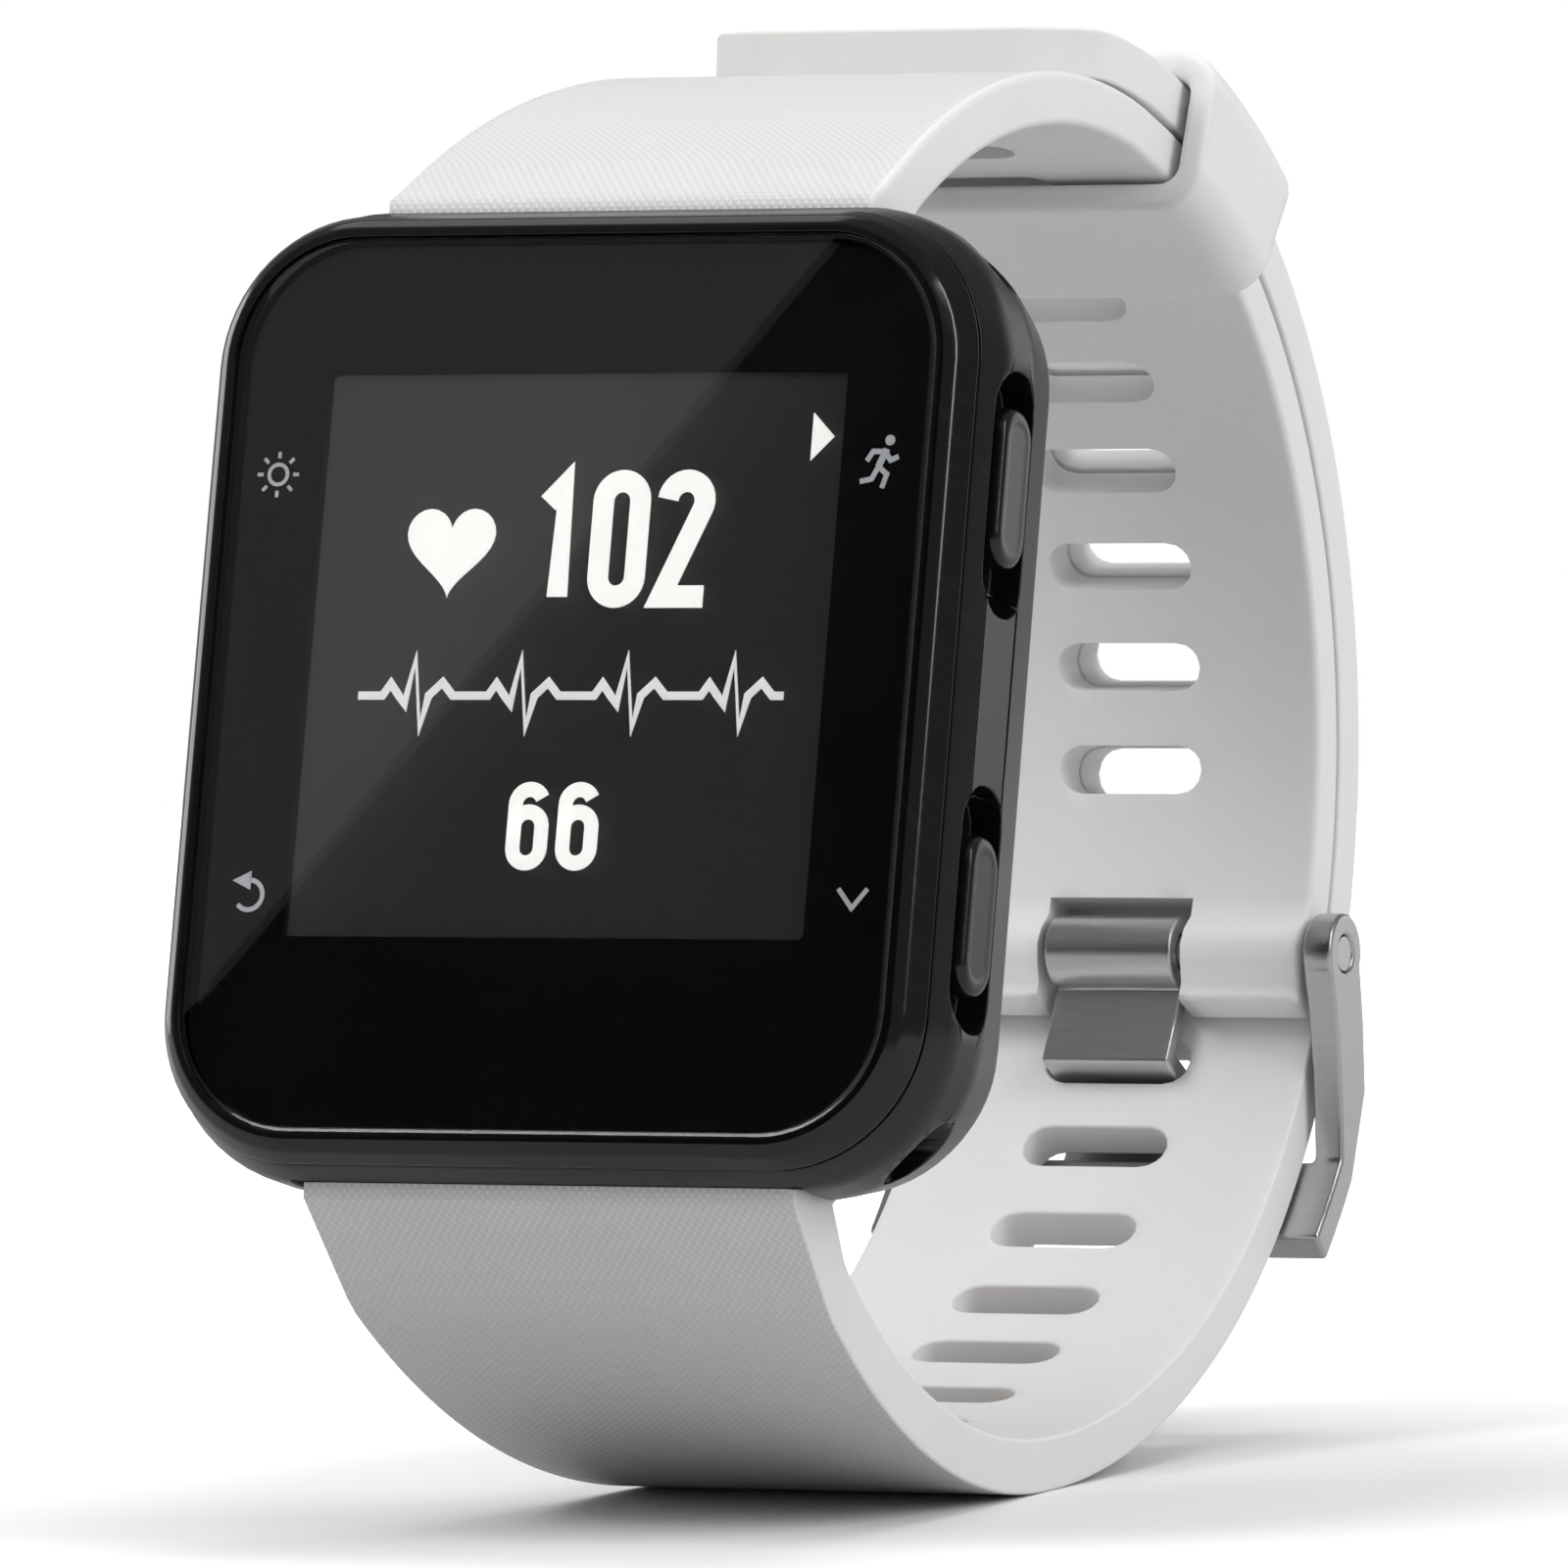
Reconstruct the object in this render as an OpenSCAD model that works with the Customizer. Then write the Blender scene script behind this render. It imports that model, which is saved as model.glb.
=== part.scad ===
// Square running watch with a silicone strap, buckled into a loop and standing on it.
// Everything is drawn in the watch's own axes and then leaned back by stand():
// +X towards the 3 o'clock side, +Y towards 12 o'clock, +Z out of the glass,
// with Z = 0 at the front of the glass and the case in the middle of X and Y.

/* [Case] */
// Widest width of the case, across 3 and 9 o'clock
case_w = 35.5; // [33:0.5:44]
// Widest length of the case, across 12 and 6 o'clock
case_l = 40.7; // [39:0.1:50]
// Corner radius of the case at its widest
case_r = 6.9; // [5.5:0.1:8]
// Width of the bezel's front edge
bezel_top_w = 32.4; // [30:0.1:32.6]
// Length of the bezel's front edge
bezel_top_l = 38.0; // [36:0.1:38.2]
// Height of the bezel ring
bezel_h = 1.4; // [1.2:0.1:1.8]
// Depth of the case at which the back cover starts
cover_z = -9.4; // [-10:0.1:-9.2]
// Thickness of the back cover without the sensor boss
cover_t = 2.0; // [1.8:0.1:2.6]
// Height of the sensor boss with its window
sensor_h = 1.9; // [1.4:0.1:2.4]
// How far the watch leans back as it stands on its strap, in degrees
lean = 13.6; // [0:0.1:25]

/* [Glass and display] */
// Width of the cover lens
lens_w = 31.6; // [29:0.1:31.8]
// Length of the cover lens
lens_l = 37.2; // [35:0.1:37.4]
// Thickness of the cover lens
lens_t = 1.0; // [0.8:0.1:1.2]
// Corner radius of the cover lens
lens_r = 5.2; // [4:0.1:5.4]
// Side of the square picture area
picture = 23.5; // [20:0.1:24]
// Height of the picture area's centre above the case's centre
picture_y = 1.3; // [0.8:0.1:1.5]

/* [Buttons] */
// Distance of each button's centre from the case's centre line
button_y = 8.8; // [8.4:0.1:9.2]
// Length of a button
button_l = 6.6; // [5.5:0.1:7.2]
// Width of a button
button_t = 2.9; // [2.2:0.1:3.2]
// Height of the button line
button_z = -4.4; // [-4.6:0.1:-4.3]
// How far a button travels
button_travel = 0.6; // [0.4:0.05:0.65]
// Diameter of a button's shaft
shaft_d = 1.6; // [1.2:0.1:1.8]

/* [Strap] */
// Width of the strap where it leaves the case
strap_w = 22.4; // [21:0.1:23]
// Width of the strap at the back
strap_end_w = 18.0; // [15:0.1:19]
// Thickness of the strap at the back
strap_t = 2.1; // [1.8:0.1:2.4]
// Thickness of both straps where they meet the case
strap_root_t = 2.6; // [2.4:0.1:3]
// Inner radius of the loop at the back
loop_r = 25.8; // [24.8:0.1:31]
// Width of a strap slot
slot_w = 6.8; // [5:0.1:7.4]
// Height of a strap slot
slot_h = 2.2; // [2:0.1:2.4]

/* [Buckle and keeper] */
// Diameter of the buckle's spring bar
bar_d = 1.5; // [1.3:0.1:1.6]
// Width of the buckle's tongue
tongue_w = 6.0; // [4.5:0.1:6.2]
// Thickness of the buckle's tongue
tongue_t = 0.8; // [0.6:0.1:0.9]
// Thickness of the buckle frame's side arms
arm_t = 1.35; // [1:0.05:1.8]
// Thickness of the buckle's toe bar
toe_t = 1.5; // [1.2:0.1:2]
// Angle that the keeper takes up on the loop, in degrees
keeper_a = 18; // [12:1:20]
// Wall thickness of the keeper
keeper_t = 1.25; // [1:0.05:1.5]

/* [Hidden] */
$fn = 64;
eps = 0.02;

// Case levels, front to back
seam = 0.1;
body_top_z = -bezel_h - seam;
widest_top_z = -3.2;
widest_end_z = -5.6;
cover_end_z = cover_z - seam - cover_t;
boss_z = cover_end_z - sensor_h;
body_inset = 0.55;
cover_inset = 0.95;
cover_end_inset = 2.1;

// Strap recesses in the case's two ends, round the strap pins
strap_gap = 0.25;
pin_y = case_l / 2 - 2.05;
pin_z = -5.6;
pin_d = 1.5;
root_r = 2.4;
root_lip = 0.5;
recess_w = strap_w + 2 * strap_gap;
recess_r = root_r + strap_gap;
head_d = 2.4;
head_h = 0.8;
pin_end_x = case_w / 2 - 4.6;
wide = 2 * case_w;

// Inside of the case
cavity_w = case_w - 5.1;
cavity_l = 2 * (pin_y - recess_r) - 4.0;
cavity_r = 4.0;
cavity_floor_z = pin_z + recess_r + 0.05;
front_cavity_w = case_w - 5.3;
front_cavity_l = case_l - 5.7;
front_cavity_r = 4.4;
screw_x = case_w / 2 - 4.55;
screw_y = case_l / 2 - 5.15;
screw_d = 1.4;
screw_head_d = 2.4;
screw_head_h = 0.9;
hex_w = 1.2;

// Bezel, and the display stack behind its opening
bezel_r = 5.6;
bezel_slope = 0.4;
lens_gap = 0.1;
mask_w = picture + 3.0;
mask_l = picture + 4.5;
mask_r = 0.6;
window_w = mask_w + 0.6;
window_l = lens_l - 4.4;
window_r = 1.2;
seal_t = 0.15;
panel_z = -lens_t - 0.25;
panel_t = 0.95;
guide_t = 0.4;
guide_z = panel_z - panel_t - 0.05;
holder_z = -bezel_h - 0.1;
tray_z = guide_z - guide_t - 0.05;
tray_t = 0.3;

// Board and what is on it
board_z = -5.0;
board_t = 0.8;
board_l = cavity_l - 0.8;
part_h = 1.2;
battery_w = 20.4;
battery_l = min(22, cavity_l - 3);
battery_h = 3.3;
battery_x = -3.3;
motor_d = 7;
motor_h = 2.7;
motor_p = [11, -6.5];
antenna = [12, 5, 1.3];
ribbon_w = 9;
ribbon_t = 0.12;

// Buttons and their channel
channel_d = 1.55;
channel_l = 2 * (button_y + button_l / 2 + 2.3);
channel_h = button_t + 0.7;
guard_l = 2 * (button_y - button_l / 2 - 2.0);
button_out = case_w / 2 + 0.1;
cap_t = 0.95;
fit = 0.03;
bushing_d = shaft_d + 0.8;
bushing_in = cavity_w / 2 - 1.2;
clip_x = bushing_in - 0.15;
clip_t = 0.35;
clip_d = shaft_d + 0.8;
shaft_in = clip_x - clip_t - 0.15;
groove_d = shaft_d - 0.4;
switch_face = shaft_in - button_travel - 0.05;
switch_t = 1.8;
switch_l = 3.0;
switch_up = 0.7;
board_w = 2 * (switch_face - switch_t / 2);

// Sensor
window_d = 13.4;
window_t = 0.9;
boss_d = 19.2;
sensor_d = 12.4;
sensor_board_z = cover_z - 1.0;
sensor_board_t = 0.6;
flex_x = 8.2;
contact_x = -12.6;
contact_pitch = 2.4;
contact_d = 1.5;

// The loop: a round back on one centre, and flatter arcs to both ends of the case.
// The upper arc runs from the loop to a shoulder just past the case's end.
// Angles on the loop start at the back, away from the glass, and rise towards 12 o'clock.
loop_y = 3.5;
loop_z = -(loop_r + 6.2);
outer_r = loop_r + strap_t;
tail_gap = 0.25;
tail_in_r = outer_r + tail_gap;
tail_out_r = tail_in_r + strap_t;
upper_end_a = -15;
shoulder_z = -4.1;
shoulder_reach = loop_y + outer_r - case_l / 2 - 1.07;
upper_r = (pow(shoulder_reach, 2) + pow(shoulder_z - loop_z, 2)) / (2 * shoulder_reach);
upper_y = loop_y + outer_r - upper_r;
upper_case_a = 90 + asin((shoulder_z - loop_z) / upper_r);
lower_join_a = -50;
lower_r = tail_out_r + 9.5;
lower_y = loop_y - (lower_r - tail_out_r) * sin(lower_join_a);
lower_z = loop_z + (lower_r - tail_out_r) * cos(lower_join_a);
lower_case_a = -acos((lower_z + 6.4) / lower_r);
tail_end_a = 100;
taper_end_z = loop_z - 3;
slot_a = 8;
slot_step = 10;
near_step = 9;
lower_slot_step = slot_step * tail_out_r / lower_r;
arc_step = 3;
root_edge = [[case_l / 2 + root_lip, pin_z + root_r + 0.1], [pin_y, pin_z + root_r], [pin_y, pin_z]];

// Buckle
bar_r = loop_r + 0.65;
bar_a = -9.6;
barrel_r = 1.45;
tongue_slot_a = slot_a - 3 * near_step - 0.7;
arm_x = strap_end_w / 2 + 0.35;
frame_x = arm_x + arm_t;
toe_r = tail_out_r + 0.2;
toe_start_a = -26;
toe_end_a = -34;
ear_r = 1.75;
notch_w = tongue_w + 0.8;
curl_r = bar_d / 2 + 0.05 + tongue_t;
notch_depth = 0.8;

// Keeper
keeper_mid_a = 71;
keeper_in_r = loop_r - 0.2 - keeper_t;
keeper_out_r = tail_out_r + 0.2 + keeper_t;
keeper_x = strap_end_w / 2 + 0.4;

// Where the watch stands: the lowest point of the lower strap is at height 0
function lean_y(p) = p[0] * sin(lean) - p[1] * cos(lean);
function lean_z(p) = p[0] * cos(lean) + p[1] * sin(lean);
stand_z = lower_r - lean_z([lower_y, lower_z]);
back_y = lean_y([loop_y, loop_z]) + tail_out_r;
front_y = lean_y([-bezel_top_l / 2, 0]);
stand_y = -(back_y + front_y) / 2;

// A point on a circle about [cy, cz], at the loop's own angle a
function ring(cy, cz, r, a) = [cy + r * sin(a), cz - r * cos(a)];
function on_loop(r, a) = ring(loop_y, loop_z, r, a);
function arc(cy, cz, r, from, to) =
    let (n = max(1, ceil(abs(to - from) / arc_step)))
    [for (i = [0:n]) ring(cy, cz, r, from + (to - from) * i / n)];
// The same, for the inner face of a strap that thickens by grow towards the end of the arc
function swell(cy, cz, r, grow, from, to) =
    let (n = ceil(abs(to - from) / arc_step))
    [for (i = [0:n]) ring(cy, cz, r - grow * i / n, from + (to - from) * i / n)];
function backwards(list) = [for (i = [len(list) - 1:-1:0]) list[i]];

bar_p = on_loop(bar_r, bar_a);

module stand() {
    translate([0, stand_y, stand_z]) rotate([90 - lean, 0, 0]) children();
}

// A slab with exact round corners, centred in X and Y, from z down by t
module slab(w, l, r, z, t) {
    translate([0, 0, z - t]) linear_extrude(t) {
        square([w - 2 * r, l], center = true);
        square([w, l - 2 * r], center = true);
        for (x = [-1, 1], y = [-1, 1]) translate([x * (w / 2 - r), y * (l / 2 - r)]) circle(r);
    }
}

// A solid block whose outline is inset from the case's widest one, level by level: [[z, inset], ...]
module shell(levels) {
    first = levels[0];
    last = levels[len(levels) - 1];
    side_x = case_w / 2 - case_r;
    side_y = case_l / 2 - case_r;
    for (x = [-1, 1], y = [-1, 1]) translate([x * side_x, y * side_y, 0]) rotate_extrude()
        polygon(concat([[0, last[0]], [0, first[0]]], [for (v = levels) [case_r - v[1], v[0]]]));
    rotate([90, 0, 0]) linear_extrude(2 * side_y, center = true) both_sides(case_w / 2, levels);
    rotate([90, 0, 90]) linear_extrude(2 * side_x, center = true) both_sides(case_l / 2, levels);
}

module both_sides(half, levels) {
    polygon(concat([for (v = levels) [half - v[1], v[0]]],
                   backwards([for (v = levels) [v[1] - half, v[0]]])));
}

// A side profile in Y and Z, drawn across X
module across(w) {
    rotate([90, 0, 90]) linear_extrude(w, center = true) children();
}

module rod_x(d, l) {
    rotate([0, 90, 0]) cylinder(d = d, h = l, center = true);
}

// A strap slot with round ends, cut square to the strap at angle a of a circle
module slot(cy, cz, r, a, h = slot_h) {
    p = ring(cy, cz, r, a);
    translate([0, p[0], p[1]]) rotate([a, 0, 0]) linear_extrude(3 * strap_t, center = true) {
        square([slot_w - h, h], center = true);
        for (x = [-1, 1]) translate([x * (slot_w - h) / 2, 0]) circle(h / 2);
    }
}

// Plan of a strap seen from the front: full width at the case, narrow behind
module strap_plan(side) {
    w = strap_w / 2;
    e = strap_end_w / 2;
    far = 70;
    rotate([90, 0, 0]) linear_extrude(2 * far, center = true)
        polygon([[-w, 0], [w, 0], [w, -4], [e, taper_end_z], [e, -far - 20], [-e, -far - 20],
                 [-e, taper_end_z], [-w, -4]]);
}

// Glass and display

module front_lens() {
    color("#101216") stand() slab(lens_w, lens_l, lens_r, 0, lens_t);
}

module lens_seal() {
    color("#202020") stand() difference() {
        slab(lens_w - 0.4, lens_l - 0.4, lens_r - 0.2, -lens_t, seal_t);
        slab(window_w, window_l, window_r, -lens_t + eps, seal_t + 2 * eps);
    }
}

module bezel() {
    color("#16171a") stand() difference() {
        hull() {
            slab(bezel_top_w, bezel_top_l, bezel_r, 0, eps, $fn = 40);
            slab(bezel_top_w + 2 * bezel_slope, bezel_top_l + 2 * bezel_slope,
                 bezel_r + bezel_slope, -bezel_slope, eps, $fn = 40);
            slab(case_w - 2 * body_inset, case_l - 2 * body_inset, case_r - body_inset,
                 -bezel_h + eps, eps, $fn = 40);
        }
        slab(lens_w + lens_gap, lens_l + lens_gap, lens_r + lens_gap / 2, 1, 1 + lens_t + seal_t);
        slab(window_w, window_l, window_r, 0, 3);
    }
}

module display_panel() {
    color("#2b2d2c") stand() translate([0, picture_y, 0]) slab(mask_w, mask_l, mask_r, panel_z, panel_t);
}

module light_guide() {
    color("#f2f2ea") stand() translate([0, picture_y, 0])
        slab(mask_w - 0.6, mask_l - 1.2, mask_r, guide_z, guide_t);
}

module display_holder() {
    rim_t = holder_z - cavity_floor_z - 0.1;
    pocket_d = holder_z - tray_z;
    panel_end = picture_y - mask_l / 2;
    color("#303236") stand() difference() {
        union() {
            slab(front_cavity_w - 0.4, front_cavity_l - 0.4, front_cavity_r - 0.2, holder_z, rim_t);
            slab(cavity_w - 0.8, cavity_l - 0.8, cavity_r - 0.4, holder_z, pocket_d + tray_t);
        }
        translate([0, picture_y, 0])
            slab(mask_w + 0.2, mask_l + 0.2, mask_r + 0.1, holder_z + 1, pocket_d + 1);
        translate([-ribbon_w / 2 - 1.5, -cavity_l / 2 - 1.5, -7])
            cube([ribbon_w + 3, panel_end + cavity_l / 2 + 1.6, 8]);
    }
}

// A ribbon that leaves the panel's lower edge and folds down onto the board
module display_flex() {
    top = panel_z - panel_t / 2 - 0.3;
    t = ribbon_t;
    y_out = -cavity_l / 2 + 0.5;
    y_in = picture_y - mask_l / 2;
    color("#b5792a") stand() across(ribbon_w)
        polygon([[y_in, top], [y_out, top], [y_out, board_z], [y_out + 3, board_z],
                 [y_out + 3, board_z + t], [y_out + t, board_z + t], [y_out + t, top - t],
                 [y_in, top - t]]);
}

// Case

module side_channel() {
    difference() {
        translate([case_w / 2 - channel_d, -channel_l / 2, button_z - channel_h / 2])
            cube([channel_d + 1, channel_l, channel_h]);
        translate([case_w / 2 - channel_d - 0.5, -guard_l / 2, button_z - channel_h / 2 - 0.5])
            cube([channel_d + 0.4, guard_l, channel_h + 1]);
    }
    for (y = [-1, 1]) translate([cavity_w / 2, y * button_y, button_z]) rod_x(bushing_d + 2 * fit, 8);
}

module strap_recess() {
    across(recess_w) {
        translate([pin_y, pin_z]) circle(recess_r);
        translate([pin_y, pin_z - recess_r]) square([6, 2 * recess_r]);
        polygon([[pin_y - 1.0, pin_z - recess_r + 0.2], [pin_y + 6, pin_z - recess_r + 0.2],
                 [pin_y + 6, cover_end_z - 1], [pin_y + 0.6, cover_end_z - 1]]);
    }
}

module pin_bore() {
    translate([0, pin_y, pin_z]) {
        rod_x(pin_d + 0.04, 2 * pin_end_x);
        for (x = [-1, 1]) translate([x * (pin_end_x + 3), 0, 0]) rod_x(head_d + 0.1, 6);
    }
}

module at_corners() {
    for (x = [-1, 1], y = [-1, 1]) translate([x * screw_x, y * screw_y, 0]) children();
}

module mid_case() {
    color("#1b1c1f") stand() difference() {
        shell([[body_top_z, body_inset], [widest_top_z, 0], [widest_end_z, 0], [cover_z, cover_inset]]);
        slab(front_cavity_w, front_cavity_l, front_cavity_r, 0, -cavity_floor_z);
        slab(cavity_w, cavity_l, cavity_r, 0, 12);
        side_channel();
        mirror([1, 0, 0]) side_channel();
        for (m = [0, 1]) mirror([0, m, 0]) {
            strap_recess();
            pin_bore();
        }
        at_corners() translate([0, 0, cover_z - 1]) cylinder(d = screw_d + 0.04, h = 3.6);
    }
}

module back_cover() {
    color("#141517") stand() difference() {
        union() {
            difference() {
                shell([[cover_z - seam, cover_inset + 0.1], [cover_end_z, cover_end_inset]]);
                for (m = [0, 1]) mirror([0, m, 0]) strap_recess();
            }
            translate([0, 0, boss_z]) cylinder(d1 = boss_d - 1.6, d2 = boss_d, h = sensor_h + 0.5);
        }
        slab(2 * flex_x + 1, sensor_d + 2, 2, cover_z + 1, 2.2);
        translate([0, 0, boss_z + window_t]) cylinder(d = sensor_d, h = 6);
        translate([0, 0, boss_z - 1]) cylinder(d = window_d + 0.1, h = window_t + 1);
        seal_ring(0.1, cover_z + 0.3, 0.8);
        at_corners() translate([0, 0, cover_end_z - 1]) {
            cylinder(d = screw_d + 0.1, h = 6);
            cylinder(d = screw_head_d + 0.1, h = screw_head_h + 1);
        }
        at_contacts() translate([0, 0, -14]) cylinder(d = contact_d + 0.04, h = 10);
    }
}

module seal_ring(gap, z, t) {
    in = 0.3;
    out = 1.0;
    difference() {
        slab(cavity_w + 2 * (out + gap), cavity_l + 2 * (out + gap), cavity_r + out, z, t);
        slab(cavity_w + 2 * (in - gap), cavity_l + 2 * (in - gap), cavity_r + in, z + eps, t + 2 * eps);
    }
}

module back_seal() {
    color("#3a3a3c") stand() seal_ring(0, cover_z - eps, 0.46);
}

module case_screws() {
    color("silver") stand() at_corners() translate([0, 0, cover_end_z + 0.05]) difference() {
        union() {
            cylinder(d = screw_head_d, h = screw_head_h - 0.05);
            cylinder(d = screw_d, h = cover_z - cover_end_z + 2.4);
        }
        translate([0, 0, -1]) cylinder(d = hex_w, h = 1.4, $fn = 6);
    }
}

// Electronics

module main_board() {
    color("#1f5a35") stand() slab(board_w, board_l, 2, board_z, board_t);
}

module board_shields() {
    color("silver") stand() {
        translate([-4.6, 0.5, 0]) slab(11, 9, 0.6, board_z + part_h, part_h);
        translate([6.2, -1.5, 0]) slab(7, 7, 0.6, board_z + part_h, part_h);
    }
}

module gps_antenna() {
    color("#d8c9a8") stand() translate([0, board_l / 2 - 3.4, 0])
        slab(antenna[0], antenna[1], 0.4, board_z + antenna[2], antenna[2]);
}

module battery() {
    color("#9aa0a6") stand() translate([battery_x, 0, 0])
        slab(battery_w, battery_l, 1.2, board_z - board_t - 0.05, battery_h);
}

module vibration_motor() {
    color("silver") stand() translate([motor_p[0], motor_p[1], board_z - board_t - 0.05 - motor_h])
        cylinder(d = motor_d, h = motor_h);
}

module sensor_board() {
    color("#1f5a35") stand() translate([0, 0, sensor_board_z - sensor_board_t])
        cylinder(d = sensor_d - 0.8, h = sensor_board_t);
}

// Two green lights with the light sensor between them
module sensor_diodes() {
    diode_t = 0.7;
    color("#c9e8c4") stand() for (x = [-3.4, 0, 3.4])
        translate([x, 0, sensor_board_z - sensor_board_t - diode_t / 2])
            cube([x == 0 ? 2.6 : 1.8, x == 0 ? 2.6 : 1.8, diode_t], center = true);
}

module sensor_flex() {
    t = ribbon_t;
    x_in = sensor_d / 2 - 1.6;
    x_up = flex_x;
    x_out = x_up + 2.2;
    low = sensor_board_z;
    high = board_z - board_t;
    color("#b5792a") stand() translate([0, 2.6, 0]) rotate([90, 0, 0]) linear_extrude(4, center = true)
        polygon([[x_in, low], [x_up + t, low], [x_up + t, high - t], [x_out, high - t],
                 [x_out, high], [x_up, high], [x_up, low + t], [x_in, low + t]]);
}

module sensor_window() {
    color("#26352c") stand() translate([0, 0, boss_z]) cylinder(d = window_d, h = window_t);
}

module at_contacts() {
    for (i = [0:3]) translate([contact_x, (i - 1.5) * contact_pitch, 0]) children();
}

module charging_contacts() {
    color("gold") stand() at_contacts() translate([0, 0, cover_end_z - 0.05])
        cylinder(d = contact_d, h = cover_z - cover_end_z);
}

// Buttons: dir is 1 at 3 o'clock and -1 at 9 o'clock, up is 1 for the upper row and -1 for the lower

module at_button(dir, up) {
    translate([0, up * button_y, button_z]) mirror([dir < 0 ? 1 : 0, 0, 0]) children();
}

module button_cap(dir, up) {
    color("#222326") stand() at_button(dir, up) difference() {
        union() {
            translate([button_out - cap_t, 0, 0]) rotate([90, 0, 90])
                slab(button_l, button_t, button_t / 2 - 0.1, cap_t, cap_t);
            translate([(button_out - cap_t + shaft_in) / 2 + 0.1, 0, 0])
                rod_x(shaft_d, button_out - cap_t - shaft_in + 0.2);
        }
        translate([clip_x - clip_t / 2, 0, 0]) difference() {
            rod_x(shaft_d + 1, clip_t + 0.04);
            rod_x(groove_d, clip_t + 1);
        }
    }
}

module button_clip(dir, up) {
    color("silver") stand() at_button(dir, up) translate([clip_x - clip_t / 2, 0, 0]) difference() {
        rod_x(clip_d, clip_t);
        rod_x(groove_d + 0.02, clip_t + 1);
        translate([0, 0, 1.5]) cube([1, 0.7, 3], center = true);
    }
}

module button_light() { button_cap(-1, 1); }
module light_clip() { button_clip(-1, 1); }
module button_back() { button_cap(-1, -1); }
module back_clip() { button_clip(-1, -1); }
module button_run() { button_cap(1, 1); }
module run_clip() { button_clip(1, 1); }
module button_down() { button_cap(1, -1); }
module down_clip() { button_clip(1, -1); }

module button_bushings() {
    long = case_w / 2 - channel_d - bushing_in;
    color("#c8c8c4") stand() for (dir = [-1, 1], up = [-1, 1]) at_button(dir, up)
        translate([bushing_in + long / 2, 0, 0]) difference() {
            rod_x(bushing_d, long);
            rod_x(shaft_d + 2 * fit, long + 1);
        }
}

module button_switches() {
    color("#55585c") stand() for (dir = [-1, 1], up = [-1, 1]) at_button(dir, up)
        translate([switch_face - switch_t, -switch_l / 2, board_z - button_z])
            cube([switch_t, switch_l, button_z - board_z + switch_up]);
}

// Strap

module upper_strap() {
    grow = strap_root_t - strap_t;
    color("white") stand() difference() {
        intersection() {
            union() {
                across(wide) polygon(concat(
                    arc(loop_y, loop_z, outer_r, upper_end_a, 90),
                    arc(upper_y, loop_z, upper_r, 90, upper_case_a),
                    root_edge,
                    backwards(swell(upper_y, loop_z, upper_r - strap_t, grow, 90, upper_case_a)),
                    arc(loop_y, loop_z, loop_r, 90, upper_end_a)));
                across(wide) translate([pin_y, pin_z]) circle(root_r);
                translate([0, bar_p[0], bar_p[1]]) rod_x(2 * barrel_r, wide);
            }
            strap_plan();
        }
        for (i = [0:8]) slot(loop_y, loop_z, loop_r + strap_t / 2, slot_a + i * slot_step);
        translate([0, pin_y, pin_z]) rod_x(pin_d + 0.1, wide);
        translate([0, bar_p[0], bar_p[1]]) rod_x(bar_d + 0.1, wide);
        tongue_notch();
    }
}

// Room for the tongue's curl in the end of the upper strap
module tongue_notch() {
    across(notch_w) polygon(concat(
        arc(loop_y, loop_z, loop_r - 2, upper_end_a - 3, bar_a + 5),
        backwards(arc(loop_y, loop_z, outer_r + 2, upper_end_a - 3, bar_a + 5))));
}

module lower_strap() {
    grow = strap_root_t - strap_t;
    mid_r = tail_in_r + strap_t / 2;
    last_a = slot_a - 4 * near_step;
    color("white") stand() difference() {
        union() {
            intersection() {
                union() {
                    across(wide) polygon(concat(
                        arc(loop_y, loop_z, tail_out_r, 0, lower_join_a),
                        arc(lower_y, lower_z, lower_r, lower_join_a, lower_case_a),
                        [for (p = root_edge) [-p[0], p[1]]],
                        backwards(swell(lower_y, lower_z, lower_r - strap_t, grow,
                                        lower_join_a, lower_case_a)),
                        arc(loop_y, loop_z, tail_in_r, lower_join_a, 0)));
                    across(wide) translate([-pin_y, pin_z]) circle(root_r);
                }
                strap_plan();
            }
            across(strap_end_w) polygon(concat(
                arc(loop_y, loop_z, tail_out_r, -2, tail_end_a),
                arc(loop_y, loop_z, tail_in_r, tail_end_a, -2)));
        }
        for (i = [0:7]) slot(loop_y, loop_z, mid_r, slot_a + i * slot_step);
        for (i = [1:3]) slot(loop_y, loop_z, mid_r, slot_a - i * near_step);
        for (i = [0:2]) slot(loop_y, loop_z, mid_r, last_a - i * slot_step);
        for (i = [1:3]) slot(lower_y, lower_z, lower_r - strap_t / 2,
                             last_a - 2 * slot_step - i * lower_slot_step);
        translate([0, -pin_y, pin_z]) rod_x(pin_d + 0.1, wide);
    }
}

module strap_pins() {
    color("silver") stand() for (y = [-1, 1]) translate([0, y * pin_y, pin_z])
        rod_x(pin_d, 2 * pin_end_x - 0.1);
}

module strap_pin_screws() {
    color("silver") stand() for (x = [-1, 1], y = [-1, 1])
        translate([x * (pin_end_x + head_h / 2), y * pin_y, pin_z]) difference() {
            rod_x(head_d, head_h);
            translate([x * head_h / 2, 0, 0]) rotate([0, 90, 0])
                cylinder(d = hex_w, h = head_h, center = true, $fn = 6);
        }
}

// Buckle

module buckle_bar() {
    color("silver") stand() translate([0, bar_p[0], bar_p[1]]) rod_x(bar_d, 2 * frame_x - 0.2);
}

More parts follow.
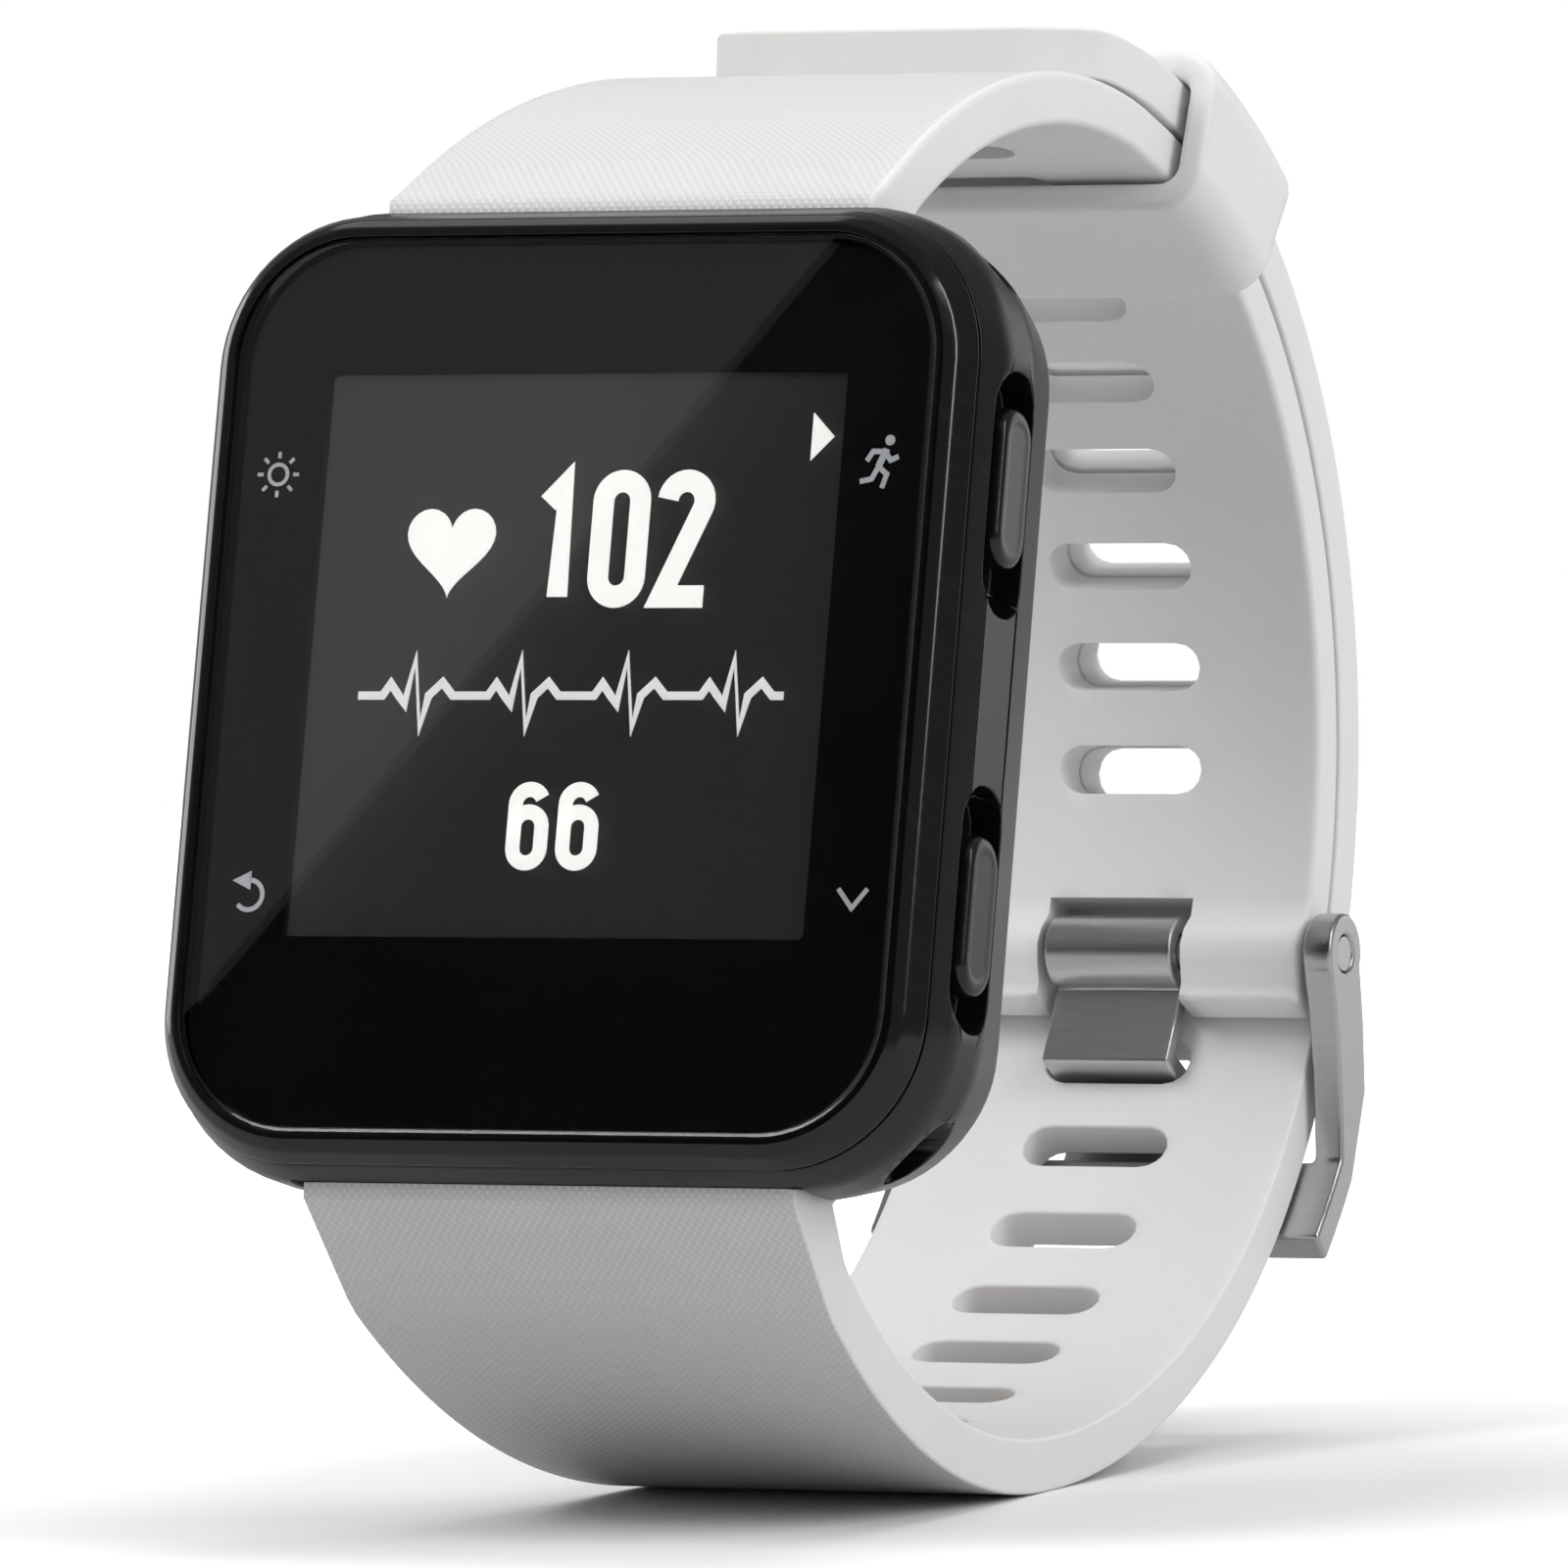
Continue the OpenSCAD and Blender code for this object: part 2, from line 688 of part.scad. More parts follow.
// Side profile of an arm: an ear round the bar, a rib that swings outwards, and the toe
module arm_profile() {
    in_r = bar_r - 1.2;
    in_a = bar_a - 3;
    difference() {
        union() {
            translate(bar_p) circle(ear_r);
            polygon(concat(
                [on_loop(bar_r - 1.5, bar_a - 1)],
                [for (t = [0:0.25:1])
                    on_loop(in_r + t * (toe_r - in_r), in_a + t * (toe_start_a - in_a))],
                arc(loop_y, loop_z, toe_r, toe_start_a, toe_end_a),
                arc(loop_y, loop_z, toe_r + toe_t, toe_end_a, toe_start_a),
                [on_loop(bar_r + 4.6, bar_a - 9), on_loop(bar_r + 3.0, bar_a - 4), on_loop(bar_r + 1.75, bar_a)]));
        }
        translate(bar_p) circle(bar_d / 2 + 0.05);
    }
}

module buckle_frame() {
    color("#b9bbbd") stand() difference() {
        union() {
            for (x = [-1, 1]) translate([x * (arm_x + arm_t / 2), 0, 0]) across(arm_t) arm_profile();
            across(2 * frame_x) polygon(concat(
                arc(loop_y, loop_z, toe_r, toe_start_a, toe_end_a),
                arc(loop_y, loop_z, toe_r + toe_t, toe_end_a, toe_start_a)));
        }
        across(tongue_w + 0.6) polygon(concat(
            arc(loop_y, loop_z, toe_r + toe_t - notch_depth, toe_start_a + 3, toe_end_a - 3),
            arc(loop_y, loop_z, toe_r + toe_t + 2, toe_end_a - 3, toe_start_a + 3)));
    }
}

// The tongue: a curl on the bar, a plate inside the strap, a step out through a slot, and a tip on the toe
module buckle_tongue() {
    in_r = bar_r + 0.35;
    tip_r = toe_r + toe_t - notch_depth + 0.05;
    step = tongue_t / (loop_r * PI / 180) / 2;
    color("#c4c6c8") stand() difference() {
        across(tongue_w) {
            translate(bar_p) circle(curl_r);
            polygon(concat(
                arc(loop_y, loop_z, in_r, bar_a, tongue_slot_a - step),
                [on_loop(tip_r, tongue_slot_a - step)],
                arc(loop_y, loop_z, tip_r, tongue_slot_a - 3, toe_end_a + 1.5),
                arc(loop_y, loop_z, tip_r + tongue_t, toe_end_a + 2.5, tongue_slot_a + step),
                [on_loop(in_r + tongue_t, tongue_slot_a + step)],
                arc(loop_y, loop_z, in_r + tongue_t, tongue_slot_a + step + 1, bar_a)));
        }
        translate([0, bar_p[0], bar_p[1]]) rod_x(bar_d + 0.1, wide);
    }
}

// A closed band round both straps, wrapped to the loop's own curve
module strap_keeper() {
    from = keeper_mid_a - keeper_a / 2;
    to = keeper_mid_a + keeper_a / 2;
    color("white") stand() difference() {
        across(2 * (keeper_x + keeper_t)) polygon(concat(
            arc(loop_y, loop_z, keeper_in_r, from, to), arc(loop_y, loop_z, keeper_out_r, to, from)));
        across(2 * keeper_x) polygon(concat(
            arc(loop_y, loop_z, keeper_in_r + keeper_t, from - 2, to + 2),
            arc(loop_y, loop_z, keeper_out_r - keeper_t, to + 2, from - 2)));
    }
}

front_lens();
lens_seal();
bezel();
display_panel();
light_guide();
display_holder();
display_flex();
mid_case();
main_board();
board_shields();
gps_antenna();
vibration_motor();
battery();
button_switches();
button_bushings();
button_light();
light_clip();
button_back();
back_clip();
button_run();
run_clip();
button_down();
down_clip();
back_cover();
back_seal();
case_screws();
sensor_board();
sensor_diodes();
sensor_flex();
sensor_window();
charging_contacts();
upper_strap();
lower_strap();
strap_pins();
strap_pin_screws();
buckle_bar();
buckle_frame();
buckle_tongue();
strap_keeper();
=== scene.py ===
import bisect
import math

import bmesh
import bpy
from mathutils import Matrix, Vector


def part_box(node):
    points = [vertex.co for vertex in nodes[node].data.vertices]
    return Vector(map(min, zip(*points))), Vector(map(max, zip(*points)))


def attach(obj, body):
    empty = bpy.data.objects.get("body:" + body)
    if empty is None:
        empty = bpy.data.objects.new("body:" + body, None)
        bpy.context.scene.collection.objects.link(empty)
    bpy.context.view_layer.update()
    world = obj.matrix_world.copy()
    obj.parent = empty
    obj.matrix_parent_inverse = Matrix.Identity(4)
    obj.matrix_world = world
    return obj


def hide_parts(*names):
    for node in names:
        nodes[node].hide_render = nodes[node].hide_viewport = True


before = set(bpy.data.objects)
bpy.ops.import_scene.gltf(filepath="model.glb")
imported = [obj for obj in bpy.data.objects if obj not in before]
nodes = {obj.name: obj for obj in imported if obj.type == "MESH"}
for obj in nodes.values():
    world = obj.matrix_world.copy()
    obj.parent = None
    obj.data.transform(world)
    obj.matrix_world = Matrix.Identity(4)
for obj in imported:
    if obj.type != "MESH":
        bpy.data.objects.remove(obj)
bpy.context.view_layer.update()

scene = bpy.context.scene
mm = 0.001
print("frame loaded,", len(nodes), "nodes")

# Every new piece is drawn in the watch's own axes, in millimetres: x towards 3 o'clock,
# y towards 12 o'clock, z out of the glass, with 0 on the glass. toFrame places it.
watch = {
    "lean": math.radians(13.6),
    "width": 35.5,
    "length": 40.7,
    "corner": 6.9,
    "lensThickness": 1.0,
    "picture": 23.5,
    "pictureY": 1.3,
}
tilt = math.pi / 2 - watch["lean"]
lensLow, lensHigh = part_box("front_lens")
toFrame = (
    Matrix.Translation((lensLow + lensHigh) / 2)
    @ Matrix.Rotation(tilt, 4, "X")
    @ Matrix.Scale(mm, 4)
    @ Matrix.Translation((0, 0, watch["lensThickness"] / 2))
)
toWatch = toFrame.inverted()
touch = 1e-4  # closer than this is the same place
fold = 1.2  # faces that meet at more than this, in radians, have an edge to round


def feed(tree, node, values):
    # each named input gets a link from the given socket, or the given constant
    for label, value in values.items():
        if isinstance(value, bpy.types.NodeSocket):
            tree.links.new(value, node.inputs[label])
        else:
            node.inputs[label].default_value = value
    return node


def addNode(tree, kind, inputs=None, **settings):
    node = tree.nodes.new("ShaderNode" + kind)
    for key, value in settings.items():
        setattr(node, key, value)
    return feed(tree, node, inputs or {})


def newGroup(name, inputs, outputs):
    group = bpy.data.node_groups.new(name, "ShaderNodeTree")
    for label, value in inputs.items():
        socket = group.interface.new_socket(label, in_out="INPUT", socket_type="NodeSocketFloat")
        socket.default_value = value
    for label in outputs:
        group.interface.new_socket(label, in_out="OUTPUT", socket_type="NodeSocketFloat")
    return group, group.nodes.new("NodeGroupInput"), group.nodes.new("NodeGroupOutput")


def ownPlace(tree):
    return addNode(tree, "TexCoord").outputs["Object"]


def mathNode(tree, operation, a, b):
    return addNode(tree, "Math", {0: a, 1: b}, operation=operation).outputs[0]


def makeGrainGroup():
    # fine moulding grain and slow patches
    group, given, out = newGroup("mouldGrain", {"Fine per mm": 6.0, "Patch per mm": 0.12}, ["Fine", "Patch"])
    place = ownPlace(group)
    for output, detail, roughness in (("Fine", 3.0, 0.6), ("Patch", 4.0, 0.55)):
        scale = mathNode(group, "MULTIPLY", given.outputs[output + " per mm"], 1 / mm)
        noise = addNode(group, "TexNoise", {
            "Vector": place, "Scale": scale, "Detail": detail, "Roughness": roughness})
        feed(group, out, {output: noise.outputs["Fac"]})
    return group


def makeRubGroup():
    # where hands and sleeves have rubbed: thin random scratches and dull patches, 0 to 1
    group, given, out = newGroup("rubMarks", {"Per mm": 0.5, "Stretch": 14.0, "Turn": 0.6}, ["Mask"])
    turn = addNode(group, "VectorRotate", {
        "Vector": ownPlace(group), "Axis": (0.3, 0.9, 0.2), "Angle": given.outputs["Turn"],
    }, rotation_type="AXIS_ANGLE")
    stretch = addNode(group, "CombineXYZ", {"X": given.outputs["Stretch"], "Y": 1.0, "Z": 1.0})
    squeeze = addNode(group, "VectorMath", {
        0: turn.outputs["Vector"], 1: stretch.outputs["Vector"]}, operation="MULTIPLY")
    noise = addNode(group, "TexNoise", {
        "Vector": squeeze.outputs["Vector"], "Detail": 2.0,
        "Scale": mathNode(group, "MULTIPLY", given.outputs["Per mm"], 1 / mm)})
    ramp = addNode(group, "MapRange", {"Value": noise.outputs["Fac"], "From Min": 0.55, "From Max": 0.78})
    feed(group, out, {"Mask": ramp.outputs["Result"]})
    return group


grainGroup = makeGrainGroup()
rubGroup = makeRubGroup()


def grainIn(tree, fine=6.0, patch=0.12):
    values = {"Fine per mm": fine, "Patch per mm": patch}
    return addNode(tree, "Group", values, node_tree=grainGroup).outputs


def blendColour(tree, factor, low, high):
    node = addNode(tree, "Mix", {"Factor": factor}, data_type="RGBA")
    for place, value in ((6, low), (7, high)):
        feed(tree, node, {place: (*value, 1.0) if isinstance(value, tuple) else value})
    return node.outputs[2]


def spread(tree, factor, low, high):
    return addNode(tree, "MapRange", {"Value": factor, "To Min": low, "To Max": high}).outputs["Result"]


def bumpFrom(tree, height, strength, distance, before=None):
    node = addNode(tree, "Bump", {"Strength": strength, "Distance": distance * mm, "Height": height})
    if before is not None:
        feed(tree, node, {"Normal": before})
    return node.outputs["Normal"]


def startMaterial(name):
    material = bpy.data.materials.new(name)
    material.use_nodes = True
    tree = material.node_tree
    return material, tree, tree.nodes["Principled BSDF"]


wear = {"rougher": 0.35, "lighter": 1.6, "lift": 0.02}


def moulded(name, dark, light, rough, fine=6.0, bump=(0.25, 0.01), rub=0.0, coat=0.0, specular=0.5):
    # a moulded, cast or coated finish: two close tones, a roughness range and fine grain
    material, tree, shader = startMaterial(name)
    grain = grainIn(tree, fine)
    colour = blendColour(tree, grain["Patch"], dark, light)
    roughness = spread(tree, grain["Patch"], *rough)
    if rub:
        marks = addNode(tree, "Group", node_tree=rubGroup)
        worn = mathNode(tree, "MULTIPLY", marks.outputs["Mask"], rub)
        roughness = mathNode(tree, "ADD", roughness, mathNode(tree, "MULTIPLY", worn, wear["rougher"]))
        pale = tuple(min(1.0, c * wear["lighter"] + wear["lift"]) for c in light)
        colour = blendColour(tree, worn, colour, pale)
    feed(tree, shader, {
        "Base Color": colour,
        "Roughness": roughness,
        "Normal": bumpFrom(tree, grain["Fine"], *bump),
        "Coat Weight": coat,
        "Coat Roughness": 0.08,
        "Specular IOR Level": specular,
        "IOR": 1.5,
    })
    return material


hairline = {"along": 250.0, "across": 9000.0, "patch": 0.3, "patchRough": 0.08, "strength": 0.35,
            "depth": 0.01}


def brushed(name, dark, light, rough, along="X"):
    # drawn or brushed metal: noise stretched along one axis of the frame
    material, tree, shader = startMaterial(name)
    h = hairline
    scale = [h["along"] if axis == along else h["across"] for axis in "XYZ"]
    mapping = addNode(tree, "Mapping", {"Vector": ownPlace(tree), "Scale": scale})
    noise = addNode(tree, "TexNoise", {"Vector": mapping.outputs["Vector"], "Scale": 1.0, "Detail": 4.0})
    hairs = noise.outputs["Fac"]
    patches = mathNode(tree, "MULTIPLY", grainIn(tree, patch=h["patch"])["Patch"], h["patchRough"])
    feed(tree, shader, {
        "Base Color": blendColour(tree, hairs, dark, light),
        "Roughness": mathNode(tree, "ADD", spread(tree, hairs, *rough), patches),
        "Normal": bumpFrom(tree, hairs, h["strength"], h["depth"]),
        "Metallic": 1.0,
    })
    return material


lattice = {"perUnit": 1.16, "turn": math.radians(45), "strength": 0.55, "depth": 0.05, "shade": 0.55,
           "paintedGrooveShade": (0.60, 0.60, 0.60)}


def makeSilicone(name, patterned):
    # satin white silicone; a patterned one has a fine diagonal lattice on the strap's outer face, its grooves
    # darkened with painted shade
    material, tree, shader = startMaterial(name)
    grain = grainIn(tree, 7.0, 0.07)
    colour = blendColour(tree, grain["Patch"], (0.80, 0.80, 0.795), (0.88, 0.88, 0.875))
    normal = bumpFrom(tree, grain["Fine"], 0.18, 0.02)
    if patterned:
        chart = addNode(tree, "UVMap", uv_map="strapMap").outputs["UV"]
        waves = []
        for way in (1, -1):
            mapping = addNode(tree, "Mapping", {"Vector": chart, "Rotation": (0, 0, way * lattice["turn"])})
            wave = addNode(tree, "TexWave", {
                "Vector": mapping.outputs["Vector"], "Scale": lattice["perUnit"],
            }, wave_type="BANDS", bands_direction="X", wave_profile="SIN")
            waves.append(wave.outputs["Fac"])
        crossing = mathNode(tree, "MULTIPLY", *waves)
        outer = addNode(tree, "Attribute", attribute_name="outerFace").outputs["Fac"]
        shown = mathNode(tree, "MULTIPLY", crossing, outer)
        normal = bumpFrom(tree, shown, lattice["strength"], lattice["depth"], normal)
        # painted shade: the grooves between the lattice's crossings are tinted grey on the outer face
        paintedGrooveShade = mathNode(tree, "MULTIPLY", mathNode(tree, "SUBTRACT", 1.0, crossing), outer)
        shade = mathNode(tree, "MULTIPLY", paintedGrooveShade, lattice["shade"])
        colour = blendColour(tree, shade, colour, lattice["paintedGrooveShade"])
    feed(tree, shader, {
        "Base Color": colour,
        "Roughness": spread(tree, grain["Patch"], 0.40, 0.50),
        "Normal": normal,
        "Specular IOR Level": 0.4,
        "Subsurface Weight": 0.12,
        "Subsurface Scale": 1.0 * mm,
        "Sheen Weight": 0.06,
    })
    return material


def makeLensGlass():
    material, tree, shader = startMaterial("lensGlass")
    feed(tree, shader, {
        "Base Color": (0.97, 0.98, 0.98, 1),
        "Roughness": spread(tree, grainIn(tree, patch=0.05)["Patch"], 0.0, 0.008),
        "Transmission Weight": 1.0,
        "IOR": 1.5,
    })
    # lamps shine straight through the lens onto what lies under it
    mix = addNode(tree, "MixShader", {
        "Fac": addNode(tree, "LightPath").outputs["Is Shadow Ray"],
        1: shader.outputs["BSDF"],
        2: addNode(tree, "BsdfTransparent").outputs["BSDF"],
    })
    feed(tree, tree.nodes["Material Output"], {"Surface": mix.outputs["Shader"]})
    return material


def makeLcd():
    # the dark reflective picture area with its faint grid of square cells
    material, tree, shader = startMaterial("lcdGlass")
    mapping = addNode(tree, "Mapping", {"Vector": ownPlace(tree), "Rotation": (-tilt, 0, 0)})
    cells = addNode(tree, "TexBrick", {
        "Vector": mapping.outputs["Vector"],
        "Scale": 5400.0,
        "Mortar Size": 0.06,
        "Brick Width": 1.0,
        "Row Height": 1.0,
        "Color1": (0.031, 0.0312, 0.030, 1),
        "Color2": (0.035, 0.035, 0.0335, 1),
        "Mortar": (0.016, 0.016, 0.016, 1),
    }, offset=0.0, squash=1.0)
    feed(tree, shader, {
        "Base Color": cells.outputs["Color"],
        "Roughness": spread(tree, grainIn(tree)["Patch"], 0.05, 0.09),
        "IOR": 2.0,
    })
    return material


def makeLitInk(name, tone, glow):
    # picture elements and printed marks: matt; the picture's glow is the screen's own light behind it, while
    # the printed marks' faint glow is painted light, as print gives none
    material, tree, shader = startMaterial(name)
    high = tuple(min(1.0, c * 1.06) for c in tone)
    colour = blendColour(tree, grainIn(tree, 9.0)["Fine"], tone, high)
    feed(tree, shader, {
        "Base Color": colour, "Emission Color": colour, "Emission Strength": glow, "Roughness": 0.6})
    return material


def makeBoard():
    # green solder mask with copper tracks showing through
    material, tree, shader = startMaterial("circuitBoard")
    tracks = addNode(tree, "TexVoronoi", {"Vector": ownPlace(tree), "Scale": 900.0},
                     feature="DISTANCE_TO_EDGE", distance="CHEBYCHEV")
    edge = addNode(tree, "MapRange", {
        "Value": tracks.outputs["Distance"], "From Min": 0.03, "From Max": 0.08}).outputs["Result"]
    feed(tree, shader, {
        "Base Color": blendColour(tree, edge, (0.10, 0.22, 0.08), (0.012, 0.09, 0.03)),
        "Normal": bumpFrom(tree, edge, 0.3, 0.03),
        "Roughness": spread(tree, grainIn(tree)["Patch"], 0.3, 0.45),
    })
    return material


def makeRibbon():
    # amber film with parallel copper tracks across x
    material, tree, shader = startMaterial("flexFilm")
    wave = addNode(tree, "TexWave", {"Vector": ownPlace(tree), "Scale": 700.0},
                   wave_type="BANDS", bands_direction="X", wave_profile="SAW").outputs["Fac"]
    feed(tree, shader, {
        "Base Color": blendColour(tree, wave, (0.42, 0.17, 0.03), (0.62, 0.33, 0.10)),
        "Normal": bumpFrom(tree, wave, 0.3, 0.02),
        "Roughness": spread(tree, wave, 0.3, 0.4),
    })
    return material


finish = {
    "strap": makeSilicone("whiteSilicone", True),
    "keeper": makeSilicone("whiteSiliconePlain", False),
    "glass": makeLensGlass(),
    "lcd": makeLcd(),
    "picture": makeLitInk("pictureWhite", (0.86, 0.86, 0.83), 0.35),
    "pictureGrey": makeLitInk("pictureGrey", (0.70, 0.70, 0.68), 0.25),
    # the printed icons' faint glow is painted light: they are print on the mask, with no light behind them
    "icon": makeLitInk("printedGrey", (0.42, 0.43, 0.45), 0.05),
    "mask": moulded("maskInk", (0.0010, 0.0010, 0.0014), (0.0014, 0.0014, 0.0019), (0.3, 0.4), fine=12,
                    bump=(0.05, 0.002), specular=0.1),
    "bezel": moulded("glossBlack", (0.0025, 0.0025, 0.0035), (0.004, 0.004, 0.005), (0.10, 0.17), fine=4,
                     bump=(0.10, 0.004), rub=0.12),
    "case": moulded("casePolymer", (0.004, 0.004, 0.005), (0.006, 0.006, 0.007), (0.24, 0.34), fine=9,
                    bump=(0.3, 0.010), rub=0.12),
    "button": moulded("buttonPolymer", (0.005, 0.005, 0.006), (0.008, 0.008, 0.009), (0.16, 0.24), fine=8,
                      bump=(0.2, 0.006), rub=0.1),
    "cover": moulded("coverPolymer", (0.013, 0.013, 0.014), (0.019, 0.019, 0.020), (0.38, 0.5), fine=7,
                     bump=(0.45, 0.014), rub=0.3),
    "buckle": brushed("buckleSteel", (0.50, 0.50, 0.51), (0.66, 0.66, 0.67), (0.22, 0.34)),
    "pin": brushed("turnedSteel", (0.55, 0.55, 0.56), (0.72, 0.72, 0.73), (0.2, 0.32)),
    "blackSteel": brushed("blackenedSteel", (0.012, 0.012, 0.013), (0.03, 0.03, 0.032), (0.3, 0.42)),
    "holder": moulded("holderPlastic", (0.03, 0.03, 0.034), (0.045, 0.045, 0.05), (0.45, 0.55),
                      bump=(0.4, 0.015)),
    "adhesive": moulded("lensAdhesive", (0.008, 0.008, 0.008), (0.014, 0.014, 0.014), (0.55, 0.7)),
    "guide": moulded("lightGuide", (0.78, 0.79, 0.76), (0.86, 0.86, 0.83), (0.12, 0.2), fine=3,
                     bump=(0.2, 0.01)),
    "flex": makeRibbon(),
    "board": makeBoard(),
    "shield": brushed("shieldSteel", (0.60, 0.60, 0.61), (0.72, 0.72, 0.73), (0.3, 0.4)),
    "ceramic": moulded("antennaCeramic", (0.62, 0.55, 0.42), (0.70, 0.62, 0.48), (0.35, 0.45), fine=12),
    "foil": brushed("batteryFoil", (0.42, 0.43, 0.45), (0.55, 0.56, 0.58), (0.32, 0.45), along="Z"),
    "switch": brushed("switchMetal", (0.48, 0.48, 0.50), (0.60, 0.60, 0.62), (0.3, 0.4), along="Y"),
    "seal": moulded("sealRubber", (0.025, 0.025, 0.026), (0.045, 0.045, 0.046), (0.6, 0.75),
                    bump=(0.4, 0.02)),
    "diode": moulded("diodeResin", (0.45, 0.66, 0.42), (0.56, 0.76, 0.52), (0.15, 0.22), fine=3),
    "sensor": moulded("sensorGlass", (0.006, 0.012, 0.010), (0.010, 0.018, 0.014), (0.05, 0.09), fine=2,
                      bump=(0.05, 0.003), coat=0.5),
    "gold": brushed("contactGold", (0.83, 0.60, 0.26), (0.94, 0.72, 0.36), (0.2, 0.3)),
}
dressed = {
    "adhesive": ["lens_seal"],
    "lcd": ["display_panel"],
    "guide": ["light_guide"],
    "holder": ["display_holder"],
    "flex": ["display_flex", "sensor_flex"],
    "board": ["main_board", "sensor_board"],
    "shield": ["board_shields", "vibration_motor"],
    "ceramic": ["gps_antenna"],
    "foil": ["battery"],
    "switch": ["button_switches"],
    "pin": ["button_bushings", "light_clip", "back_clip", "run_clip", "down_clip", "case_screws",
            "strap_pins", "buckle_bar"],
    "blackSteel": ["strap_pin_screws"],
    "seal": ["back_seal"],
    "diode": ["sensor_diodes"],
    "sensor": ["sensor_window"],
    "gold": ["charging_contacts"],
}
for label, names in dressed.items():
    for name in names:
        nodes[name].data.materials.clear()
        nodes[name].data.materials.append(finish[label])
print("materials made")


def linkMesh(name, bm):
    # frees bm once its mesh is an object in the scene
    mesh = bpy.data.meshes.new(name)
    bm.to_mesh(mesh)
    bm.free()
    made = bpy.data.objects.new(name, mesh)
    scene.collection.objects.link(made)
    return made


def finishPiece(name, bm, label, body, stands=(), mergeGap=5 * touch, sharp=None):
    # bm is in the watch's axes; it becomes a smooth-shaded object in the frame, riding on its body;
    # stands are the CAD nodes that it stands in for, sharp is the angle in degrees that stays an edge
    bmesh.ops.remove_doubles(bm, verts=bm.verts, dist=mergeGap)
    bmesh.ops.recalc_face_normals(bm, faces=bm.faces)
    bmesh.ops.transform(bm, matrix=toFrame, verts=bm.verts)
    piece = linkMesh(name, bm)
    piece.data.materials.append(finish[label])
    piece.data.shade_smooth()
    if sharp is not None:
        piece.data.set_sharp_from_angle(angle=math.radians(sharp))
    piece.modifiers.new("evenShading", "WEIGHTED_NORMAL").keep_sharp = True
    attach(piece, body)
    if stands:
        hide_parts(*stands)
    return piece


def softEdges(piece, width, segments, degrees):
    bevel = piece.modifiers.new("softEdges", "BEVEL")
    bevel.width = width * mm
    bevel.segments = segments
    bevel.limit_method = "ANGLE"
    bevel.angle_limit = math.radians(degrees)
    bevel.use_clamp_overlap = False
    piece.modifiers.move(len(piece.modifiers) - 1, 0)  # before the shading is evened out


def roundOff(bm, geom, offset, segments, affect="EDGES", clamp=False):
    bmesh.ops.bevel(bm, geom=geom, offset=offset, offset_type="OFFSET", segments=segments, profile=0.5,
                    affect=affect, material=-1, clamp_overlap=clamp)


def pull(bm, faces, way):
    # extrudes the faces and moves the new ones
    grown = bmesh.ops.extrude_face_region(bm, geom=faces)
    verts = [v for v in grown["geom"] if isinstance(v, bmesh.types.BMVert)]
    bmesh.ops.translate(bm, vec=way, verts=verts)


def roundedFace(bm, width, length, corner, z, segments):
    there = set(bm.faces)
    made = bmesh.ops.create_grid(bm, x_segments=1, y_segments=1, size=0.5)
    bmesh.ops.scale(bm, vec=(width, length, 1), verts=made["verts"])
    bmesh.ops.translate(bm, vec=(0, 0, z), verts=made["verts"])
    roundOff(bm, made["verts"], corner, segments, "VERTICES")
    return max((f for f in bm.faces if f not in there), key=lambda f: f.calc_area())


def roundedBlock(width, length, corner, top, bottom, segments):
    bm = bmesh.new()
    face = roundedFace(bm, width, length, corner, top, segments)
    pull(bm, [face], (0, 0, bottom - top))
    bmesh.ops.recalc_face_normals(bm, faces=bm.faces)
    return bm


def addRod(bm, radius, start, end, segments):
    made = bmesh.ops.create_cone(bm, cap_ends=True, segments=segments, radius1=radius, radius2=radius,
                                 depth=1.0)
    start, end = Vector(start), Vector(end)
    turn = Vector((0, 0, 1)).rotation_difference(end - start).to_matrix().to_4x4()
    bmesh.ops.scale(bm, vec=(1, 1, (end - start).length), verts=made["verts"])
    bmesh.ops.transform(bm, matrix=Matrix.Translation((start + end) / 2) @ turn, verts=made["verts"])


def rodCutter(radius, start, end, segments=40):
    bm = bmesh.new()
    addRod(bm, radius, start, end, segments)
    return bm


def boxCutter(low, high, rounded=0.0, axis=2):
    # a box whose edges along one axis may be rounded
    bm = bmesh.new()
    made = bmesh.ops.create_cube(bm, size=1.0)
    bmesh.ops.scale(bm, vec=[b - a for a, b in zip(low, high)], verts=made["verts"])
    bmesh.ops.translate(bm, vec=[(a + b) / 2 for a, b in zip(low, high)], verts=made["verts"])
    if rounded:
        edges = [e for e in bm.edges if abs((e.verts[0].co - e.verts[1].co).normalized()[axis]) > 0.9]
        roundOff(bm, edges, rounded, segments=5)
    return bm


def prism(points, width):
    # a side outline in y and z, drawn across x
    bm = bmesh.new()
    face = bm.faces.new([bm.verts.new((-width / 2, y, z)) for y, z in points])
    pull(bm, [face], (width, 0, 0))
    bmesh.ops.recalc_face_normals(bm, faces=bm.faces)
    return bm


def carve(bm, cutters, joined=()):
    # adds the joined solids to bm, takes the cutters away with exact booleans, returns the new bmesh
    body = linkMesh("carved", bm)
    tools = [linkMesh("cutter", c) for c in (*joined, *cutters)]
    for i, tool in enumerate(tools):
        cut = body.modifiers.new("cut", "BOOLEAN")
        cut.operation = "UNION" if i < len(joined) else "DIFFERENCE"
        cut.solver = "EXACT"
        cut.object = tool
    shown = body.evaluated_get(bpy.context.evaluated_depsgraph_get())
    result = bmesh.new()
    result.from_mesh(shown.to_mesh())
    for thing in (body, *tools):
        mesh = thing.data
        bpy.data.objects.remove(thing)
        bpy.data.meshes.remove(mesh)
    return result


